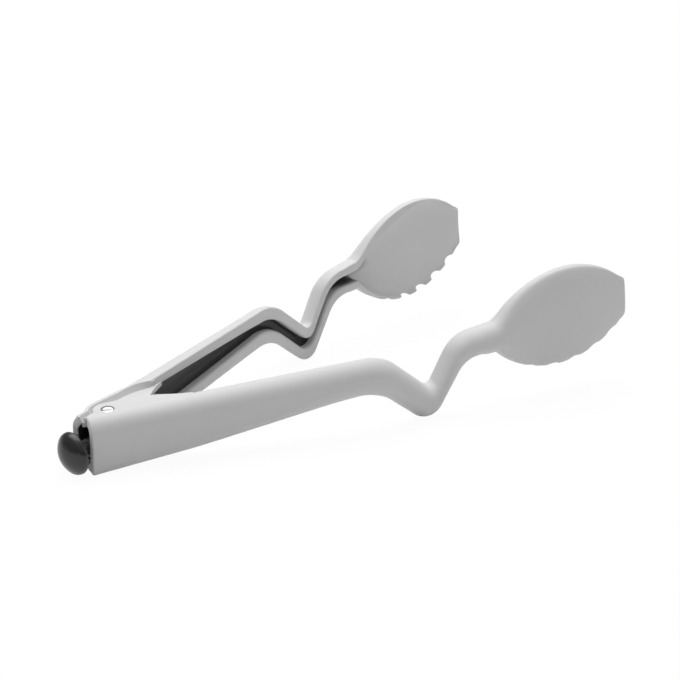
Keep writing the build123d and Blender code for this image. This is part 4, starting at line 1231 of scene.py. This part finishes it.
def one_screw():
    """A screw with its head down, on the hinge's axis, in the hinge's frame."""
    z0, z1 = SCREW_BOTTOM, SCREW_BOTTOM + SCREW_HEAD_HIGH
    outline = [(z0, 0), (z0, 1.55), (z0 + 0.1, 1.8), (z0 + 0.35, SCREW_HEAD), (z1, SCREW_HEAD),
               (z1, SCREW_SHANK)]
    root = SCREW_SHANK - THREAD_DEPTH
    for i in range(int((SCREW_TOP - z1 - 0.8) / THREAD_PITCH)):
        low = z1 + 0.3 + i * THREAD_PITCH
        outline += [(low, root), (low + THREAD_PITCH / 2, SCREW_SHANK)]
    outline += [(SCREW_TOP - 0.3, root), (SCREW_TOP, 0.4), (SCREW_TOP, 0)]
    screw = as_object(spun(outline, along_pin, 28), "screw")
    for turn in (0, pi / 2):
        blade = bmesh.new()
        bmesh.ops.create_cube(blade, size=1)
        blade.transform(Matrix.Translation((0, 0, SCREW_BOTTOM)) @ Matrix.Rotation(turn, 4, "Z")
                        @ Matrix.Diagonal(CROSS_SIZE))
        carve(screw, [as_object(blade, "blade")])
    return screw


tree, names = node_tree(
    "copies on points", {"Piece": "Object"}, {"info": "ObjectInfo", "copies": "InstanceOnPoints"},
    (("group", "Piece", "info", "Object"), ("group", "Geometry", "copies", "Points"),
     ("info", "Geometry", "copies", "Instance"), ("copies", "Instances", "end", "Geometry")))
screw = one_screw()
data = bpy.data.meshes.new("screw places")
data.from_pydata([(x, y, 0) for x, y in SCREW_AT], [], [])
screws = grown(new_object("screw places", data), tree, names,
               {"Piece": screw, "Material": screw_steel}, "screws")
bpy.data.objects.remove(screw)
screws.data.transform(to_bench)
finish_piece(screws, screw_steel, "pivot_core", "steel", "housing_screws", weld=WIRE_WELD)

# %% [markdown]
# The rest of the mechanism is right as the CAD model has it. Those pieces stay, and only get their materials.

# %% Materials for the CAD's own pieces
for node, material in {
        "pin_washers": washer_white, "hinge_bush": acetal, "latch_housing_lower": housing_black,
        "latch_housing_upper": housing_black, "cam_sleeve": acetal, "spring_plug": housing_black,
        "button_stem": housing_black, "lock_collar": housing_black, "stem_cross_pin": screw_steel,
        "cam_rotor": acetal}.items():
    piece = frame["nodes"][node]
    piece.data.materials.clear()
    piece.data.materials.append(material)
    print(node, "in", material.name)

# %% [markdown]
# The photograph is a product shot on white. The floor shows white to the camera, with the faintest shadow,
# but it sends back less light than white paper would, so the undersides stay grey as they do in the picture.

# %% Floor and sky
FLOOR_GREY, FLOOR_SHADE = 0.78, 0.05
SKY_LOW, SKY_HIGH = 0.08, 0.60
WHITE = (1, 1, 1, 1)


def fresh_tree(owner):
    """Empty an owner's node tree, and tell whether a ray comes from the camera."""
    owner.use_nodes = True
    owner.node_tree.nodes.clear()
    path = owner.node_tree.nodes.new("ShaderNodeLightPath")
    return Socket(owner.node_tree, path.outputs["Is Camera Ray"])


def surface(kind, shader):
    end = shader.tree.nodes.new(kind)
    shader.tree.links.new(shader.socket, end.inputs["Surface"])


bench_white = bpy.data.materials.new("bench_white")
ray = fresh_tree(bench_white)
seen = ray.maths("MAXIMUM", ray, ray.out("ShaderNodeLightPath", "Is Glossy Ray"))
matt = ray.out("ShaderNodeBsdfDiffuse", 0, Color=(FLOOR_GREY, FLOOR_GREY, FLOOR_GREY, 1))
paper = ray.out("ShaderNodeBsdfDiffuse", 0, Color=(0.98, 0.98, 0.98, 1))
glow = ray.out("ShaderNodeEmission", 0, Color=WHITE, Strength=1.0)
white = ray.out("ShaderNodeMixShader", 0, _0=1 - FLOOR_SHADE, _1=paper, _2=glow)
surface("ShaderNodeOutputMaterial", ray.out("ShaderNodeMixShader", 0, _0=seen, _1=matt, _2=white))

mesh = bmesh.new()
bmesh.ops.create_grid(mesh, x_segments=1, y_segments=1, size=3.0)
floor = as_object(mesh, "floor")
floor.data.materials.append(bench_white)

world = bpy.data.worlds.new("studio")
bpy.context.scene.world = world
ray = fresh_tree(world)
height = ray.out("ShaderNodeSeparateXYZ", 2, _0=ray.out("ShaderNodeTexCoord", "Generated"))
dim = ray.out("ShaderNodeBackground", 0, Color=WHITE,
              Strength=SKY_LOW + height.stretch(0.0, 1.0) * (SKY_HIGH - SKY_LOW))
bright = ray.out("ShaderNodeBackground", 0, Color=WHITE, Strength=1.0)
surface("ShaderNodeOutputWorld", ray.out("ShaderNodeMixShader", 0, _0=ray, _1=dim, _2=bright))
print("floor and sky set")

# %% [markdown]
# One wide softbox hangs over the tongs, a little behind them, so that the tops are light and the side walls
# fall off to mid grey. A smaller, weaker panel stands to the right: it gives the knob its soft highlight and
# brightens the rims. A narrow strip stands behind the tongs, where the rivet's flat head mirrors it into the
# camera.


# %% Softboxes
def softbox(name, place, aim, size, power):
    light = bpy.data.lights.new(name, "AREA")
    light.shape = "RECTANGLE"
    light.size, light.size_y = size
    light.energy = power
    made = new_object(name, light)
    made.location = place
    made.rotation_euler = (Vector(aim) - Vector(place)).to_track_quat("-Z", "Y").to_euler()


softbox("overhead", (0.05, 0.40, 1.10), (0, 0, 0), (1.5, 1.1), 14.5)
softbox("side panel", (0.70, -0.90, 0.45), (0.05, 0, 0.03), (0.6, 0.6), 1.3)
ahead = camera.matrix_world.to_3x3() @ Vector((0, 0, -1))
mirrored = Vector((ahead.x, ahead.y, -ahead.z))
softbox("rear strip", pivot + mirrored, pivot, (0.5, 0.16), 0.7)
bpy.context.scene.view_settings.view_transform = "Standard"
